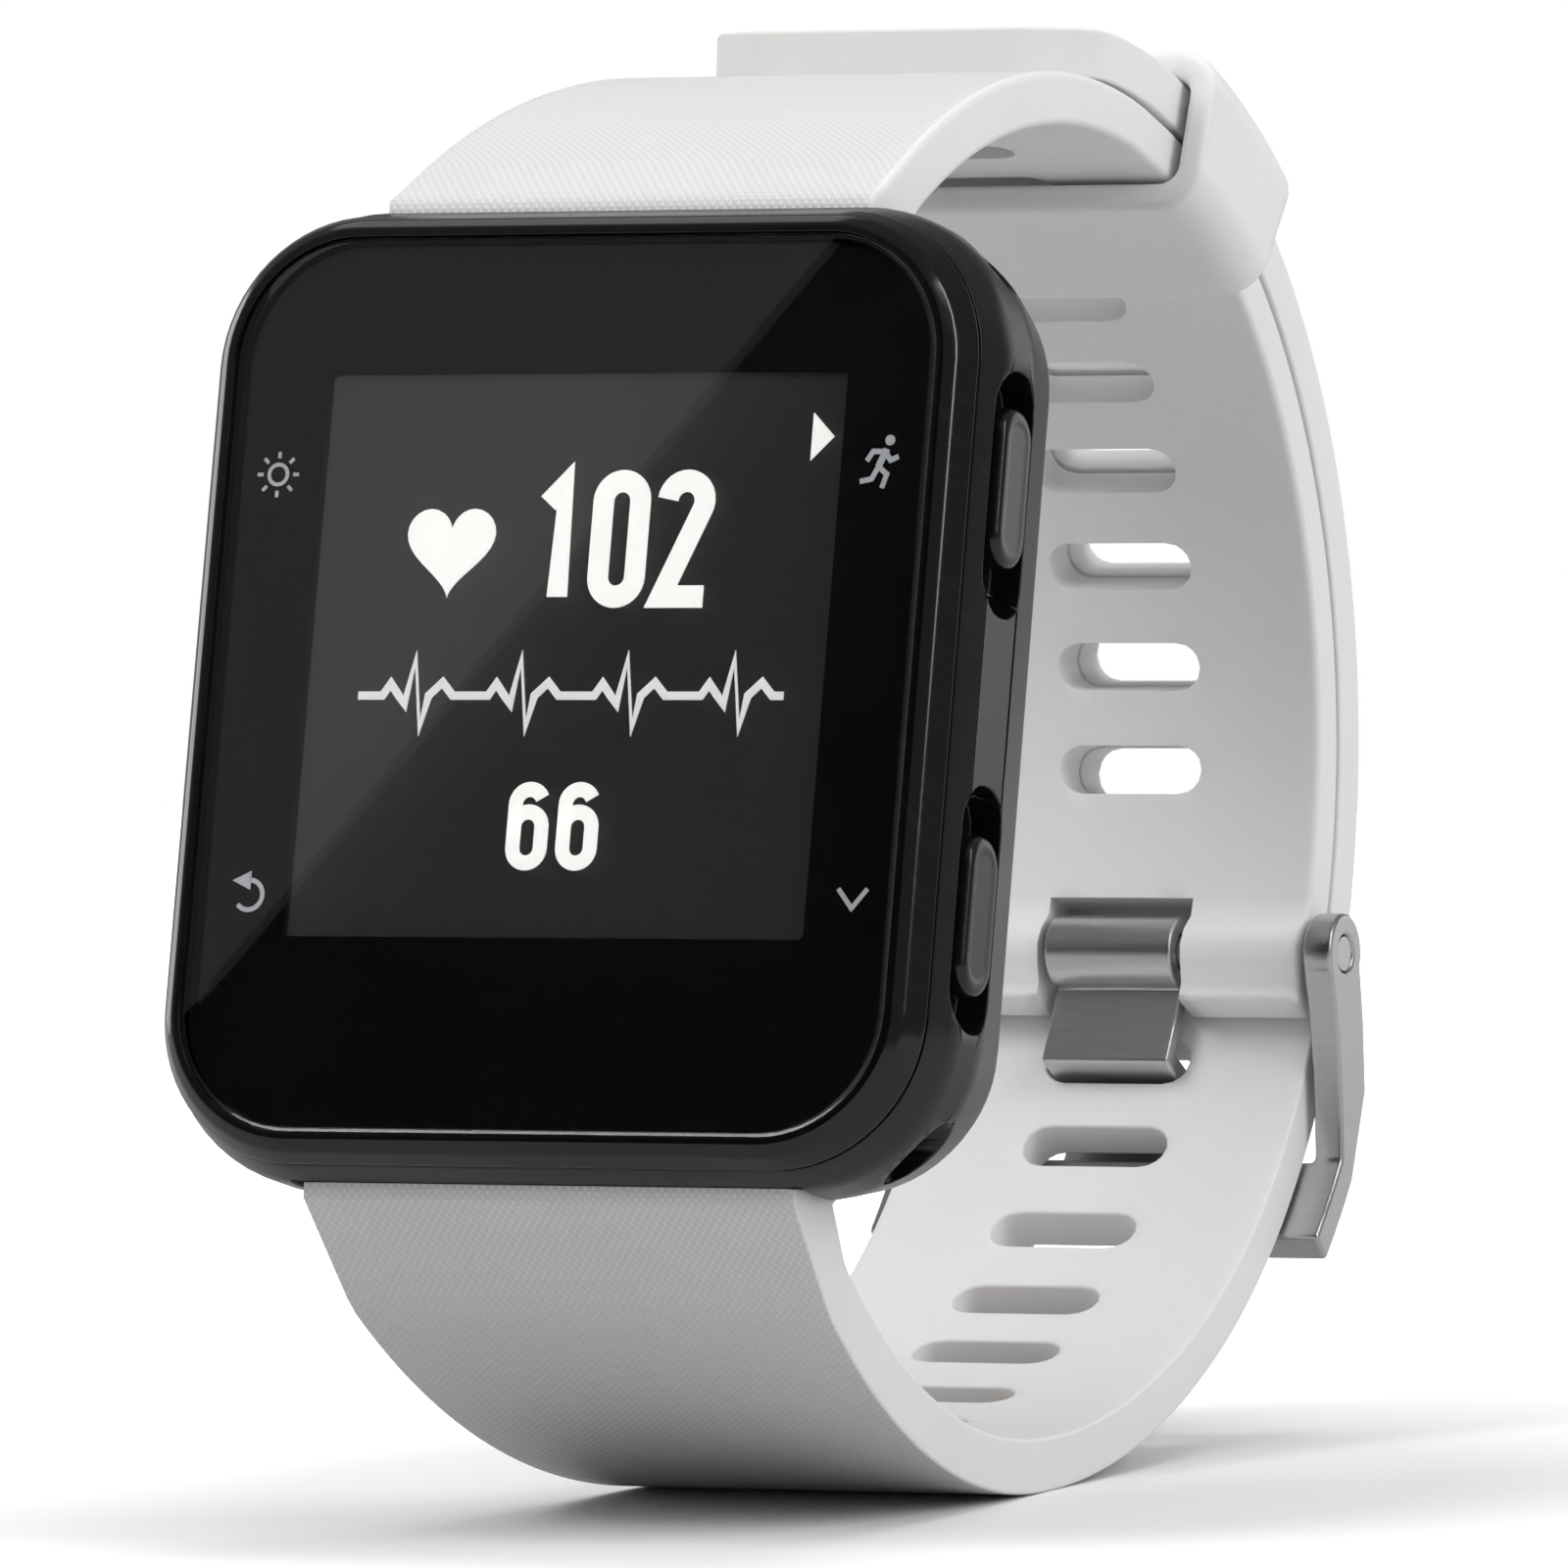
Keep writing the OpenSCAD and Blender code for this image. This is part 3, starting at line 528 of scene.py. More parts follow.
def softCorners(points, reach):
    # every inner corner of a list of levels becomes a short curve that starts reach away from it
    steps = 4
    most = 0.45  # share of a side that one curve may use up
    points = [Vector(p) for p in points]
    soft = [points[0]]
    for a, b, c in zip(points, points[1:], points[2:]):
        first = b + (a - b) * min(most, reach / (a - b).length)
        last = b + (c - b) * min(most, reach / (c - b).length)
        for i in range(steps + 1):
            t = i / steps
            soft.append(first * (1 - t) ** 2 + b * (2 * t * (1 - t)) + last * t * t)
    return soft + [points[-1]]


def stackedShell(levels, segments=14, closed=False):
    # rounded outlines (z, width, length, corner) bridged one to the next
    bm = bmesh.new()
    loops = []
    for i, (z, width, length, corner) in enumerate(levels):
        face = roundedFace(bm, width, length, corner, z, segments)
        loops.append(list(face.edges))
        if closed or 0 < i < len(levels) - 1:  # an open stack keeps its two ends
            bm.faces.remove(face)
    if closed:
        loops.append(loops[0])
    for a, b in zip(loops, loops[1:]):
        bmesh.ops.bridge_loops(bm, edges=a + b)
    bmesh.ops.recalc_face_normals(bm, faces=bm.faces)
    return bm


def inInsets(levels):
    # levels of the case's own outline, from (z, inset) pairs
    return [(z, watch["width"] - 2 * n, watch["length"] - 2 * n, watch["corner"] - n) for z, n in levels]


def ringPoint(centre, radius, degrees):
    # a point (y, z) on a circle by the strap loop's own angle: 0 is the back, 90 towards 12 o'clock
    a = math.radians(degrees)
    return Vector((centre[0] + radius * math.sin(a), centre[1] - radius * math.cos(a)))


case = {
    # z and inset from the widest outline
    "profile": ((-1.5, 0.65), (-1.62, 0.55), (-3.2, 0.0), (-5.6, 0.0), (-9.25, 0.91), (-9.4, 1.07)),
    "soft": 0.55, "edge": 0.1, "top": 1, "bottom": -12, "beyond": 3,
    "bay": (30.2, 35.0, 4.4), "bayFloor": -2.9, "hollow": (30.4, 27.3, 4.0),
    "pinY": 18.3, "pinZ": -5.6, "pinBore": 1.25, "pinHeadX": 13.15, "pinEndX": 20,
    "recessRadius": 2.65, "recessWidth": 22.9, "recessEnd": 6, "recessFoot": 0.6, "recessBack": -13.5,
    "buttonY": 8.8, "buttonZ": -4.4, "shaftBore": 1.23, "shaftX": 14.5,
    "channelDepth": 1.55, "channelHigh": 3.6, "channelEnd": 13.6, "channelRound": 1.6,
    "guardEnd": 3.5, "guardLow": 0.1, "guardLap": 0.6,
}


def recessCutters():
    # the hollow at each end of the case that takes a strap's barrel, open to the back
    y, z, radius = case["pinY"], case["pinZ"], case["recessRadius"]
    arc = [math.radians(a) for a in range(90, 249, 12)]
    outline = [(y + case["recessEnd"], z + radius)]
    outline += [(y + radius * math.cos(a), z + radius * math.sin(a)) for a in arc]
    outline += [(y + case["recessFoot"], case["recessBack"]), (y + case["recessEnd"], case["recessBack"])]
    return [prism([(side * y, z) for y, z in outline], case["recessWidth"]) for side in (1, -1)]


def outward(side, a, b):
    # a range of x or y on one side of the watch, lower end first
    return min(side * a, side * b), max(side * a, side * b)


def makeCase():
    c = case
    cutters = [roundedBlock(*c["bay"], c["top"], c["bayFloor"], segments=8),
               roundedBlock(*c["hollow"], c["top"], c["bottom"], segments=8)]
    cutters += recessCutters()
    wall = watch["width"] / 2
    low, high = c["buttonZ"] - c["channelHigh"] / 2, c["buttonZ"] + c["channelHigh"] / 2
    for x in (1, -1):
        x0, x1 = outward(x, wall - c["channelDepth"], wall + c["beyond"])
        for y in (1, -1):
            y0, y1 = outward(y, c["guardEnd"], c["channelEnd"])
            cutters.append(boxCutter((x0, y0, low), (x1, y1, high), c["channelRound"], axis=0))
            button = (y * c["buttonY"], c["buttonZ"])
            pin = (y * c["pinY"], c["pinZ"])
            cutters.append(rodCutter(c["shaftBore"], (x0, *button), (x * c["shaftX"], *button)))
            cutters.append(rodCutter(c["pinBore"], (x * c["pinHeadX"], *pin), (x * c["pinEndX"], *pin)))
        x0, x1 = outward(x, wall - c["guardLow"], wall + c["beyond"])
        guard = c["guardEnd"] + c["guardLap"]
        cutters.append(boxCutter((x0, -guard, low), (x1, guard, high)))
    bm = carve(stackedShell(inInsets(softCorners(c["profile"], c["soft"]))), cutters)
    piece = finishPiece("case_body", bm, "case", "head", ["mid_case"])
    softEdges(piece, c["edge"], segments=2, degrees=45)


cover = {
    "profile": ((-9.5, 1.05), (-11.0, 1.75), (-11.5, 2.6)),  # as the case's
    "soft": 0.5, "backZ": -11.5, "bossZ": -13.4, "bossRadius": 9.6, "bossTaper": 0.8, "bossLap": 0.5,
    "bossRound": 0.6, "below": 1, "windowRadius": 6.75, "windowDeep": 0.9,
    "screwX": 13.2, "screwY": 15.2, "screwRadius": 1.25, "screwDeep": 0.9,
    "contactX": -12.6, "contactPitch": 2.4, "contacts": 4, "contactRadius": 0.77, "contactDeep": 1.2,
}


def makeBackCover():
    c = cover
    boss = bmesh.new()
    bmesh.ops.create_cone(boss, cap_ends=True, segments=72, radius1=c["bossRadius"] - c["bossTaper"],
                          radius2=c["bossRadius"], depth=c["backZ"] - c["bossZ"] + c["bossLap"])
    bmesh.ops.translate(boss, vec=(0, 0, (c["bossZ"] + c["backZ"] + c["bossLap"]) / 2), verts=boss.verts)
    rim = [e for e in boss.edges if all(v.co.z < c["bossZ"] + touch for v in e.verts)]
    roundOff(boss, rim, c["bossRound"], segments=5)

    def sunk(x, y, radius, z, deep, segments=40):
        return rodCutter(radius, (x, y, z - c["below"]), (x, y, z + deep), segments)

    cutters = recessCutters()
    cutters.append(sunk(0, 0, c["windowRadius"], c["bossZ"], c["windowDeep"], segments=72))
    for x in (c["screwX"], -c["screwX"]):
        for y in (c["screwY"], -c["screwY"]):
            cutters.append(sunk(x, y, c["screwRadius"], c["backZ"], c["screwDeep"]))
    for i in range(c["contacts"]):
        y = (i - (c["contacts"] - 1) / 2) * c["contactPitch"]
        cutters.append(sunk(c["contactX"], y, c["contactRadius"], c["backZ"], c["contactDeep"]))
    bm = carve(stackedShell(inInsets(softCorners(c["profile"], c["soft"]))), cutters, [boss])
    finishPiece("case_back", bm, "cover", "head", ["back_cover"], sharp=30)


bezel = {
    "profile": ((0, 32.2, 37.8, 5.5), (-0.04, 32.4, 38.0, 5.6), (-0.4, 33.2, 38.8, 6.0),
                (-1.34, 34.38, 39.58, 6.34), (-1.4, 34.2, 39.4, 6.25)),  # z, width, length, corner
    "soft": 0.3, "edge": 0.05, "seat": (31.7, 37.3, 5.25), "seatFloor": -1.15,
    "window": (27.1, 32.8, 1.2), "top": 1, "bottom": -3,
}


def makeBezel():
    b = bezel
    cutters = [roundedBlock(*b["seat"], b["top"], b["seatFloor"], segments=16),
               roundedBlock(*b["window"], b["top"], b["bottom"], segments=6)]
    bm = carve(stackedShell(softCorners(b["profile"], b["soft"]), segments=16), cutters)
    piece = finishPiece("bezel_ring", bm, "bezel", "head", ["bezel"])
    softEdges(piece, b["edge"], segments=2, degrees=50)


button = {
    "length": 6.6, "width": 2.9, "out": 17.85, "thick": 0.95, "rim": 0.38, "endFlat": 0.1,
    "hollowInset": 0.25, "hollowSlope": 0.2, "hollowDeep": 0.05, "shaftRadius": 0.8, "shaftEnd": -3.5,
    "shaftLap": 0.01,
}
# which side of the case, and which end
buttons = {"button_light": (-1, 1), "button_back": (-1, -1), "button_run": (1, 1), "button_down": (1, -1)}


def makeButton(name, side, up):
    b = button
    bm = bmesh.new()
    face = roundedFace(bm, b["length"], b["width"], b["width"] / 2 - b["endFlat"], z=0, segments=10)
    pull(bm, [face], (0, 0, b["thick"]))
    rim = [e for e in bm.edges if all(v.co.z > b["thick"] - touch for v in e.verts)]
    roundOff(bm, rim, b["rim"], segments=4)
    # a shallow thumb hollow along the middle of the bar
    top = max(bm.faces, key=lambda f: f.calc_center_median().z)
    for inset, rise in ((b["hollowInset"], 0), (b["hollowSlope"], -b["hollowDeep"])):
        bmesh.ops.inset_region(bm, faces=[top], thickness=inset, depth=rise, use_even_offset=True)
    addRod(bm, b["shaftRadius"], (0, 0, b["shaftEnd"]), (0, 0, b["shaftLap"]), segments=32)
    # its length turns to y and its top to x, outwards on its own side
    turn = Matrix(((0, 0, side, 0), (1, 0, 0, 0), (0, 1, 0, 0), (0, 0, 0, 1)))
    place = Matrix.Translation((side * (b["out"] - b["thick"]), up * case["buttonY"], case["buttonZ"]))
    bmesh.ops.transform(bm, matrix=place @ turn, verts=bm.verts)
    finishPiece("bar_" + name, bm, "button", name, [name], sharp=35)


makeCase()
makeBackCover()
makeBezel()
for name, (side, up) in buttons.items():
    makeButton(name, side, up)
print("case made")

lens = {"profile": ((0, 31.2, 36.8, 5.0), (-0.2, 31.6, 37.2, 5.2), (-0.95, 31.6, 37.2, 5.2)), "soft": 0.15}
mask = {"outline": (31.4, 37.0, 5.1), "top": -0.97, "bottom": -0.995, "windowRound": 0.25,
        "windowLow": -2, "windowHigh": 0}


def makeLens():
    bm = stackedShell(softCorners(lens["profile"], lens["soft"]), segments=16)
    finishPiece("cover_glass", bm, "glass", "head", ["front_lens"], sharp=50)


def makeMask():
    # the border printed under the glass, open over the picture
    half, y = watch["picture"] / 2, watch["pictureY"]
    window = boxCutter((-half, y - half, mask["windowLow"]), (half, y + half, mask["windowHigh"]),
                       mask["windowRound"])
    bm = carve(roundedBlock(*mask["outline"], mask["top"], mask["bottom"], segments=16), [window])
    finishPiece("printed_mask", bm, "mask", "head", sharp=40)


def plate(bm, outline, z, thick):
    # a flat outline of (x, y) points made a thin plate whose front is at z
    face = bm.faces.new([bm.verts.new((x, y, z)) for x, y in outline])
    pull(bm, [face], (0, 0, -thick))


def addStroke(bm, points, width, z, thick, closed=False):
    # a drawn line: a flat band of one width along the points, mitred at all but tight corners
    tightest = 0.5
    points = [Vector(p) for p in points]
    count = len(points)
    left, right = [], []
    for i, p in enumerate(points):
        ways = []
        if closed or i:
            ways.append((p - points[i - 1]).normalized())
        if closed or i < count - 1:
            ways.append((points[(i + 1) % count] - p).normalized())
        way = sum(ways, Vector((0, 0))).normalized()
        out = Vector((-way.y, way.x)) * (width / 2) / max(tightest, way.dot(ways[0]))
        left.append(bm.verts.new((*(p + out), z)))
        right.append(bm.verts.new((*(p - out), z)))
    faces = []
    for i in range(count if closed else count - 1):
        j = (i + 1) % count
        faces.append(bm.faces.new((left[i], right[i], right[j], left[j])))
    pull(bm, faces, (0, 0, -thick))


def arcPath(x, y, radius, start, end, steps=16):
    angles = [math.radians(start + (end - start) * i / steps) for i in range(steps + 1)]
    return [(x + radius * math.cos(a), y + radius * math.sin(a)) for a in angles]


def roundPath(x, y, radius, steps=24):
    return arcPath(x, y, radius, 0, 360, steps)[:-1]


def digitPaths(digit, x, y, w, h):
    # centre lines of a condensed figure whose strokes run between +-w and +-h about (x, y)
    if digit == "0":
        return [(arcPath(x, y + h - w, w, 0, 180) + arcPath(x, y - h + w, w, 180, 360), True)]
    if digit == "1":
        return [([(x - 0.75 * w, y + 0.62 * h), (x + 0.12 * w, y + 0.98 * h), (x + 0.12 * w, y - h)], False)]
    if digit == "2":
        return [(arcPath(x, y + h - w, w, 175, -25) + [(x - w, y - h), (x + 1.3 * w, y - h)], False)]
    bowl = arcPath(x, y - h + w, w, 180, 360) + arcPath(x, y - 0.02 * h, w, 0, 180)
    stem = [(x - w, y - 0.3 * h), (x - w, y + h - w)] + arcPath(x, y + h - w, w, 170, 25)
    return [(bowl, True), (stem, False)]


picture = {
    "front": -1.2, "thick": 0.045,
    # a row of figures: each with its x, then the row's y, half width, half height and stroke
    "rows": (((("1", -0.75), ("0", 1.95), ("2", 4.85)), 6.1, 0.83, 2.4, 0.92),
             ((("6", -1.1), ("6", 1.15)), -5.8, 0.62, 1.52, 0.62)),
    "heartX": -5.65, "heartY": 5.85, "heartWide": 0.125, "heartHigh": 0.128, "heartPoints": 48,
    "pointer": ((10.25, 11.3), (10.25, 9.3), (11.25, 10.3)),
    "traceY": -0.4, "traceStart": -9.3, "traceEnd": 9.9, "traceStroke": 0.34, "beats": (-8.2, -3.4, 1.4, 6.2),
    "beat": ((0, 0), (0.35, 0.5), (0.75, 0), (1.05, -0.35), (1.4, 1.55), (1.8, -1.35), (2.1, 0), (2.7, 0.55),
             (3.2, 0)),
}


def heartOutline():
    outline = []
    for i in range(picture["heartPoints"]):
        t = 2 * math.pi * i / picture["heartPoints"]
        high = 13 * math.cos(t) - 5 * math.cos(2 * t) - 2 * math.cos(3 * t) - math.cos(4 * t)
        outline.append((picture["heartX"] + picture["heartWide"] * 16 * math.sin(t) ** 3,
                        picture["heartY"] + picture["heartHigh"] * high))
    return outline[::-1]


def makePicture():
    p = picture
    bm = bmesh.new()
    for figures, y, width, height, stroke in p["rows"]:
        for digit, x in figures:
            for path, closed in digitPaths(digit, x, y, width, height):
                addStroke(bm, path, stroke, p["front"], p["thick"], closed)
    plate(bm, heartOutline(), p["front"], p["thick"])
    plate(bm, p["pointer"], p["front"], p["thick"])
    finishPiece("picture_figures", bm, "picture", "head", sharp=30)


def makeTrace():
    # a pulse trace stands where a line of words would be
    p = picture
    line = [(start + x, p["traceY"] + y) for start in p["beats"] for x, y in p["beat"]]
    line = [(p["traceStart"], p["traceY"]), *line, (p["traceEnd"], p["traceY"])]
    bm = bmesh.new()
    addStroke(bm, line, p["traceStroke"], p["front"], p["thick"])
    finishPiece("pulse_trace", bm, "pictureGrey", "head", sharp=30)


icons = {
    "z": -0.956, "thick": 0.01, "step": 0.0001,
    "sun": (-13.7, 8.8), "sunRadius": 0.42, "sunStroke": 0.16, "rays": 8, "ray": (0.68, 0.95),
    "rayStroke": 0.15, "stroke": 0.2,
    "back": (-13.4, -8.75), "backRadius": 0.62, "backFrom": 95, "backTo": -140,
    "backHead": ((-13.35, -7.75), (-14.2, -8.15), (-13.35, -8.55)),
    "run": (13.45, 9.1), "head": (13.87, 10.08), "headRadius": 0.22, "trunkStroke": 0.3, "limbStroke": 0.22,
    "limbs": (((0.3, 0.62), (-0.02, -0.12)), ((-0.02, -0.12), (0.38, -0.42), (0.2, -1.0)),
              ((-0.02, -0.12), (-0.28, -0.62), (-0.8, -0.72)), ((0.24, 0.5), (-0.3, 0.52), (-0.55, 0.12)),
              ((0.24, 0.5), (0.5, 0.15), (0.85, 0.3))),  # the trunk comes first
    "down": ((13.15, -8.35), (13.8, -9.15), (14.45, -8.35)),
}


def makeIcons():
    k = icons
    z, thick = k["z"], k["thick"]
    bm = bmesh.new()
    addStroke(bm, roundPath(*k["sun"], k["sunRadius"]), k["sunStroke"], z, thick, closed=True)
    for i in range(k["rays"]):
        a = 2 * math.pi * i / k["rays"]
        ray = [(k["sun"][0] + r * math.cos(a), k["sun"][1] + r * math.sin(a)) for r in k["ray"]]
        addStroke(bm, ray, k["rayStroke"], z, thick)
    hook = arcPath(*k["back"], k["backRadius"], k["backFrom"], k["backTo"], steps=20)
    addStroke(bm, hook, k["stroke"], z, thick)
    plate(bm, k["backHead"], z, thick)
    plate(bm, roundPath(*k["head"], k["headRadius"]), z, thick)
    for i, limb in enumerate(k["limbs"]):
        path = [(k["run"][0] + x, k["run"][1] + y) for x, y in limb]
        addStroke(bm, path, k["limbStroke"] if i else k["trunkStroke"], z - k["step"] * i, thick)
    addStroke(bm, k["down"], k["stroke"], z, thick)
    finishPiece("printed_icons", bm, "icon", "head", sharp=30)


makeLens()
makeMask()
makePicture()
makeTrace()
makeIcons()
print("display made")

loop = {"centre": (3.5, -32.0), "inner": 25.8, "outer": 27.9, "tailInner": 28.15, "tailOuter": 30.25,
        "thick": 2.1, "rootThick": 2.6, "endHalf": 9.0, "rootHalf": 11.2, "taperTop": -4.0, "taperEnd": -35.0}
strap = {
    "slotHalf": 3.4, "slotHigh": 2.2, "slotPitch": 10, "rim": 0.5, "slotRim": 0.16, "row": 0.85,
    "slotReach": 0.2, "tipReach": 0.05, "tipFill": 1.4, "skin": 0.02,
    "columns": (0, 0.8, 1.6),
    "flanks": (0.16, 0.34, 0.54, 0.76, 0.9, 1.0),  # shares of the way from a slot's end to the strap's edge
    "barrel": (172, 150, 125, 105, 90), "barrelRadius": 2.4,
    # outer and inner points (y, z) from the barrel out of the recess
    "shoulder": (((19.3, -3.17), (19.25, -7.8)), ((20.2, -3.12), (19.9, -7.4)),
                 ((20.85, -3.2), (20.25, -6.95))),
}


def halfWidth(z):
    part = min(1.0, max(0.0, (loop["taperTop"] - z) / (loop["taperTop"] - loop["taperEnd"])))
    return loop["rootHalf"] + (loop["endHalf"] - loop["rootHalf"]) * part


class StrapPath:
    # stations along a strap: distance from its root, outer point, inner point and half width
    def __init__(self, rootPairs):
        self.stations = []
        self.distance = 0.0
        for outer, inner in rootPairs:
            self.add(outer, inner)

    def add(self, outer, inner, half=None):
        outer, inner = Vector(outer), Vector(inner)
        if self.stations:
            last = self.stations[-1]
            self.distance += ((outer + inner) / 2 - (last[1] + last[2]) / 2).length
        half = halfWidth((outer.y + inner.y) / 2) if half is None else half
        self.stations.append((self.distance, outer, inner, half))
        return self.distance

    def arc(self, centre, outer, inner, start, end, half=None, step=1.0):
        # inner is a function of the angle; returns a function from angle to distance
        count = max(2, round(abs(end - start) / step))
        pairs = []
        for i in range(1, count + 1):
            angle = start + (end - start) * i / count
            place = self.add(ringPoint(centre, outer, angle), ringPoint(centre, inner(angle), angle), half)
            pairs.append((angle, place))
        slope = (pairs[-1][1] - pairs[0][1]) / (pairs[-1][0] - pairs[0][0])

        def distanceAt(angle):
            near, place = min(pairs, key=lambda pair: abs(angle - pair[0]))
            return place + (angle - near) * slope

        return distanceAt

    def at(self, distance):
        places = [s[0] for s in self.stations]
        i = min(max(bisect.bisect_right(places, distance), 1), len(places) - 1)
        a, b = self.stations[i - 1], self.stations[i]
        t = (distance - a[0]) / max(1e-9, b[0] - a[0])
        return a[1].lerp(b[1], t), a[2].lerp(b[2], t), a[3] + (b[3] - a[3]) * t


def rootPairs(side):
    # round the pin's barrel, over the shoulder and out of the recess
    pairs = []
    for a in strap["barrel"]:
        y = case["pinY"] + strap["barrelRadius"] * math.cos(math.radians(a))
        rise = strap["barrelRadius"] * math.sin(math.radians(a))
        pairs.append(((y, case["pinZ"] + rise), (y, case["pinZ"] - rise)))
    pairs += strap["shoulder"]
    return [((side * o[0], o[1]), (side * i[0], i[1])) for o, i in pairs]


def strapRows(path, slots, extra):
    # distances of the grid's rows: the slots' own lines, and even rows between them
    fixed = {0.0, path.distance, *extra}
    for centre in slots:
        for part in (-1, -0.5, 0, 0.5, 1):
            fixed.add(centre + part * strap["slotHigh"] / 2)
    roots = len(strap["barrel"]) + len(strap["shoulder"])
    fixed |= {s[0] for s in path.stations[:roots]}
    fixed = sorted(fixed)
    rows = []
    for a, b in zip(fixed, fixed[1:]):
        if b - a < touch:
            continue
        count = max(1, math.ceil((b - a) / strap["row"]))
        rows += [a + (b - a) * i / count for i in range(count)]
    return rows + [fixed[-1]]


def inSlot(centre, slots, notch):
    if abs(centre.x) > strap["slotHalf"]:
        return False
    if notch is not None and centre.y > notch:
        return True
    return any(abs(centre.y - c) < strap["slotHigh"] / 2 for c in slots)


def flatStrap(path, slots, notch, roundTip):
    # the strap's outline with its slots, laid flat: x across, y the distance from its root
    s = strap
    straight = s["slotHalf"] - s["slotHigh"] / 2
    mark = s["slotHalf"] + 1  # flank columns wait past this until the edge is known
    across = [*s["columns"], straight, (straight + s["slotHalf"]) / 2, s["slotHalf"]]
    across += [mark + f for f in s["flanks"]]
    columns = [-x for x in across[:0:-1]] + across
    rows = strapRows(path, slots, [notch] if notch else [])
    bm = bmesh.new()
    bmesh.ops.create_grid(bm, x_segments=len(columns) - 1, y_segments=len(rows) - 1, size=1.0)
    for v in bm.verts:
        column = round((v.co.x + 1) / 2 * (len(columns) - 1))
        row = round((v.co.y + 1) / 2 * (len(rows) - 1))
        v.co = (columns[column], rows[row], 0)
    opened = [f for f in bm.faces if inSlot(f.calc_center_median(), slots, notch)]
    bmesh.ops.delete(bm, geom=opened, context="FACES")
    for v in bm.verts:
        near = [c for c in slots if abs(v.co.y - c) < s["slotHigh"] / 2 + touch]
        if near and straight + touch < abs(v.co.x) < s["slotHalf"] + touch:
            hub = Vector((math.copysign(straight, v.co.x), near[0], 0))
            v.co = hub + (v.co - hub).normalized() * s["slotHigh"] / 2
    for v in bm.verts:
        x = abs(v.co.x)
        half = path.at(v.co.y)[2]
        left = path.distance - v.co.y
        if roundTip and left < roundTip:
            half -= roundTip - math.sqrt(max(0, roundTip ** 2 - (roundTip - left) ** 2))
        if x > mark:
            v.co.x = math.copysign(s["slotHalf"] + (x - mark) * (half - s["slotHalf"]), v.co.x)
        elif roundTip and left < roundTip:
            v.co.x *= min(1.0, half / loop["endHalf"] * s["tipFill"])
    return bm


def makeStrap(name, path, slots, stands, notch=None, roundTip=0.0):
    # the flat strap gets its thickness and round rims, and is then bent along its path
    s = strap
    bm = flatStrap(path, slots, notch, roundTip)
    pull(bm, bm.faces[:], (0, 0, loop["thick"]))
    bmesh.ops.recalc_face_normals(bm, faces=bm.faces)

    def atSlot(edge):
        return (max(abs(v.co.x) for v in edge.verts) < s["slotHalf"] + s["slotReach"]
                and edge.verts[0].co.y < path.distance - s["tipReach"])

    for inside, width, segments in ((False, s["rim"], 4), (True, s["slotRim"], 2)):
        edges = [e for e in bm.edges if len(e.link_faces) == 2 and e.calc_face_angle(0) > fold
                 and abs(e.verts[0].co.z - e.verts[1].co.z) < s["skin"] and atSlot(e) == inside]
        roundOff(bm, edges, width, segments, clamp=True)
    chart = bm.loops.layers.uv.new("strapMap")
    for face in bm.faces:
        for corner in face.loops:
            corner[chart].uv = corner.vert.co.xy
    outside = bm.verts.layers.float.new("outerFace")
    for v in bm.verts:
        v[outside] = 1.0 if v.co.z > loop["thick"] - s["skin"] else 0.0
        outer, inner, half = path.at(v.co.y)
        v.co = (v.co.x, *inner.lerp(outer, v.co.z / loop["thick"]))
    finishPiece(name, bm, "strap", "head", stands, mergeGap=touch)


upper = {"radius": 44.0, "startAngle": 126.6, "caseAngle": 129.35, "loopAngle": 90, "endAngle": -15.0,
         "barRadius": 26.45, "barAngle": -9.6, "barrel": 1.45, "notchAngle": -4.6, "step": 0.8,
         "firstSlot": 8, "slots": 9}
lower = {"radius": 39.75, "centre": (10.777, -25.893), "caseAngle": -119.4, "startAngle": -117.9,
         "joinAngle": -50.0, "endAngle": 100.0, "tip": 2.6, "firstSlot": 8, "tailSlots": 8,
         "backSlots": (-1, -10, -19, -28, -38, -48), "arcSlots": 3}


def makeUpperStrap():
    u = upper
    centre = (loop["centre"][0] - (u["radius"] - loop["outer"]), loop["centre"][1])
    grow = (loop["rootThick"] - loop["thick"]) / (u["caseAngle"] - u["loopAngle"])

    def arcInner(angle):
        return u["radius"] - loop["thick"] - grow * (angle - u["loopAngle"])

    def loopInner(angle):
        # swells round the buckle's bar
        away = math.radians(angle - u["barAngle"]) * u["barRadius"]
        if abs(away) >= u["barrel"]:
            return loop["inner"]
        return min(loop["inner"], u["barRadius"] - math.sqrt(u["barrel"] ** 2 - away ** 2))

    path = StrapPath(rootPairs(1))
    path.arc(centre, u["radius"], arcInner, u["startAngle"], u["loopAngle"])
    where = path.arc(loop["centre"], loop["outer"], loopInner, u["loopAngle"], u["endAngle"], step=u["step"])
    slots = [where(u["firstSlot"] + strap["slotPitch"] * i) for i in range(u["slots"])]
    makeStrap("strap_12_oclock", path, slots, ["upper_strap"], notch=where(u["notchAngle"]))


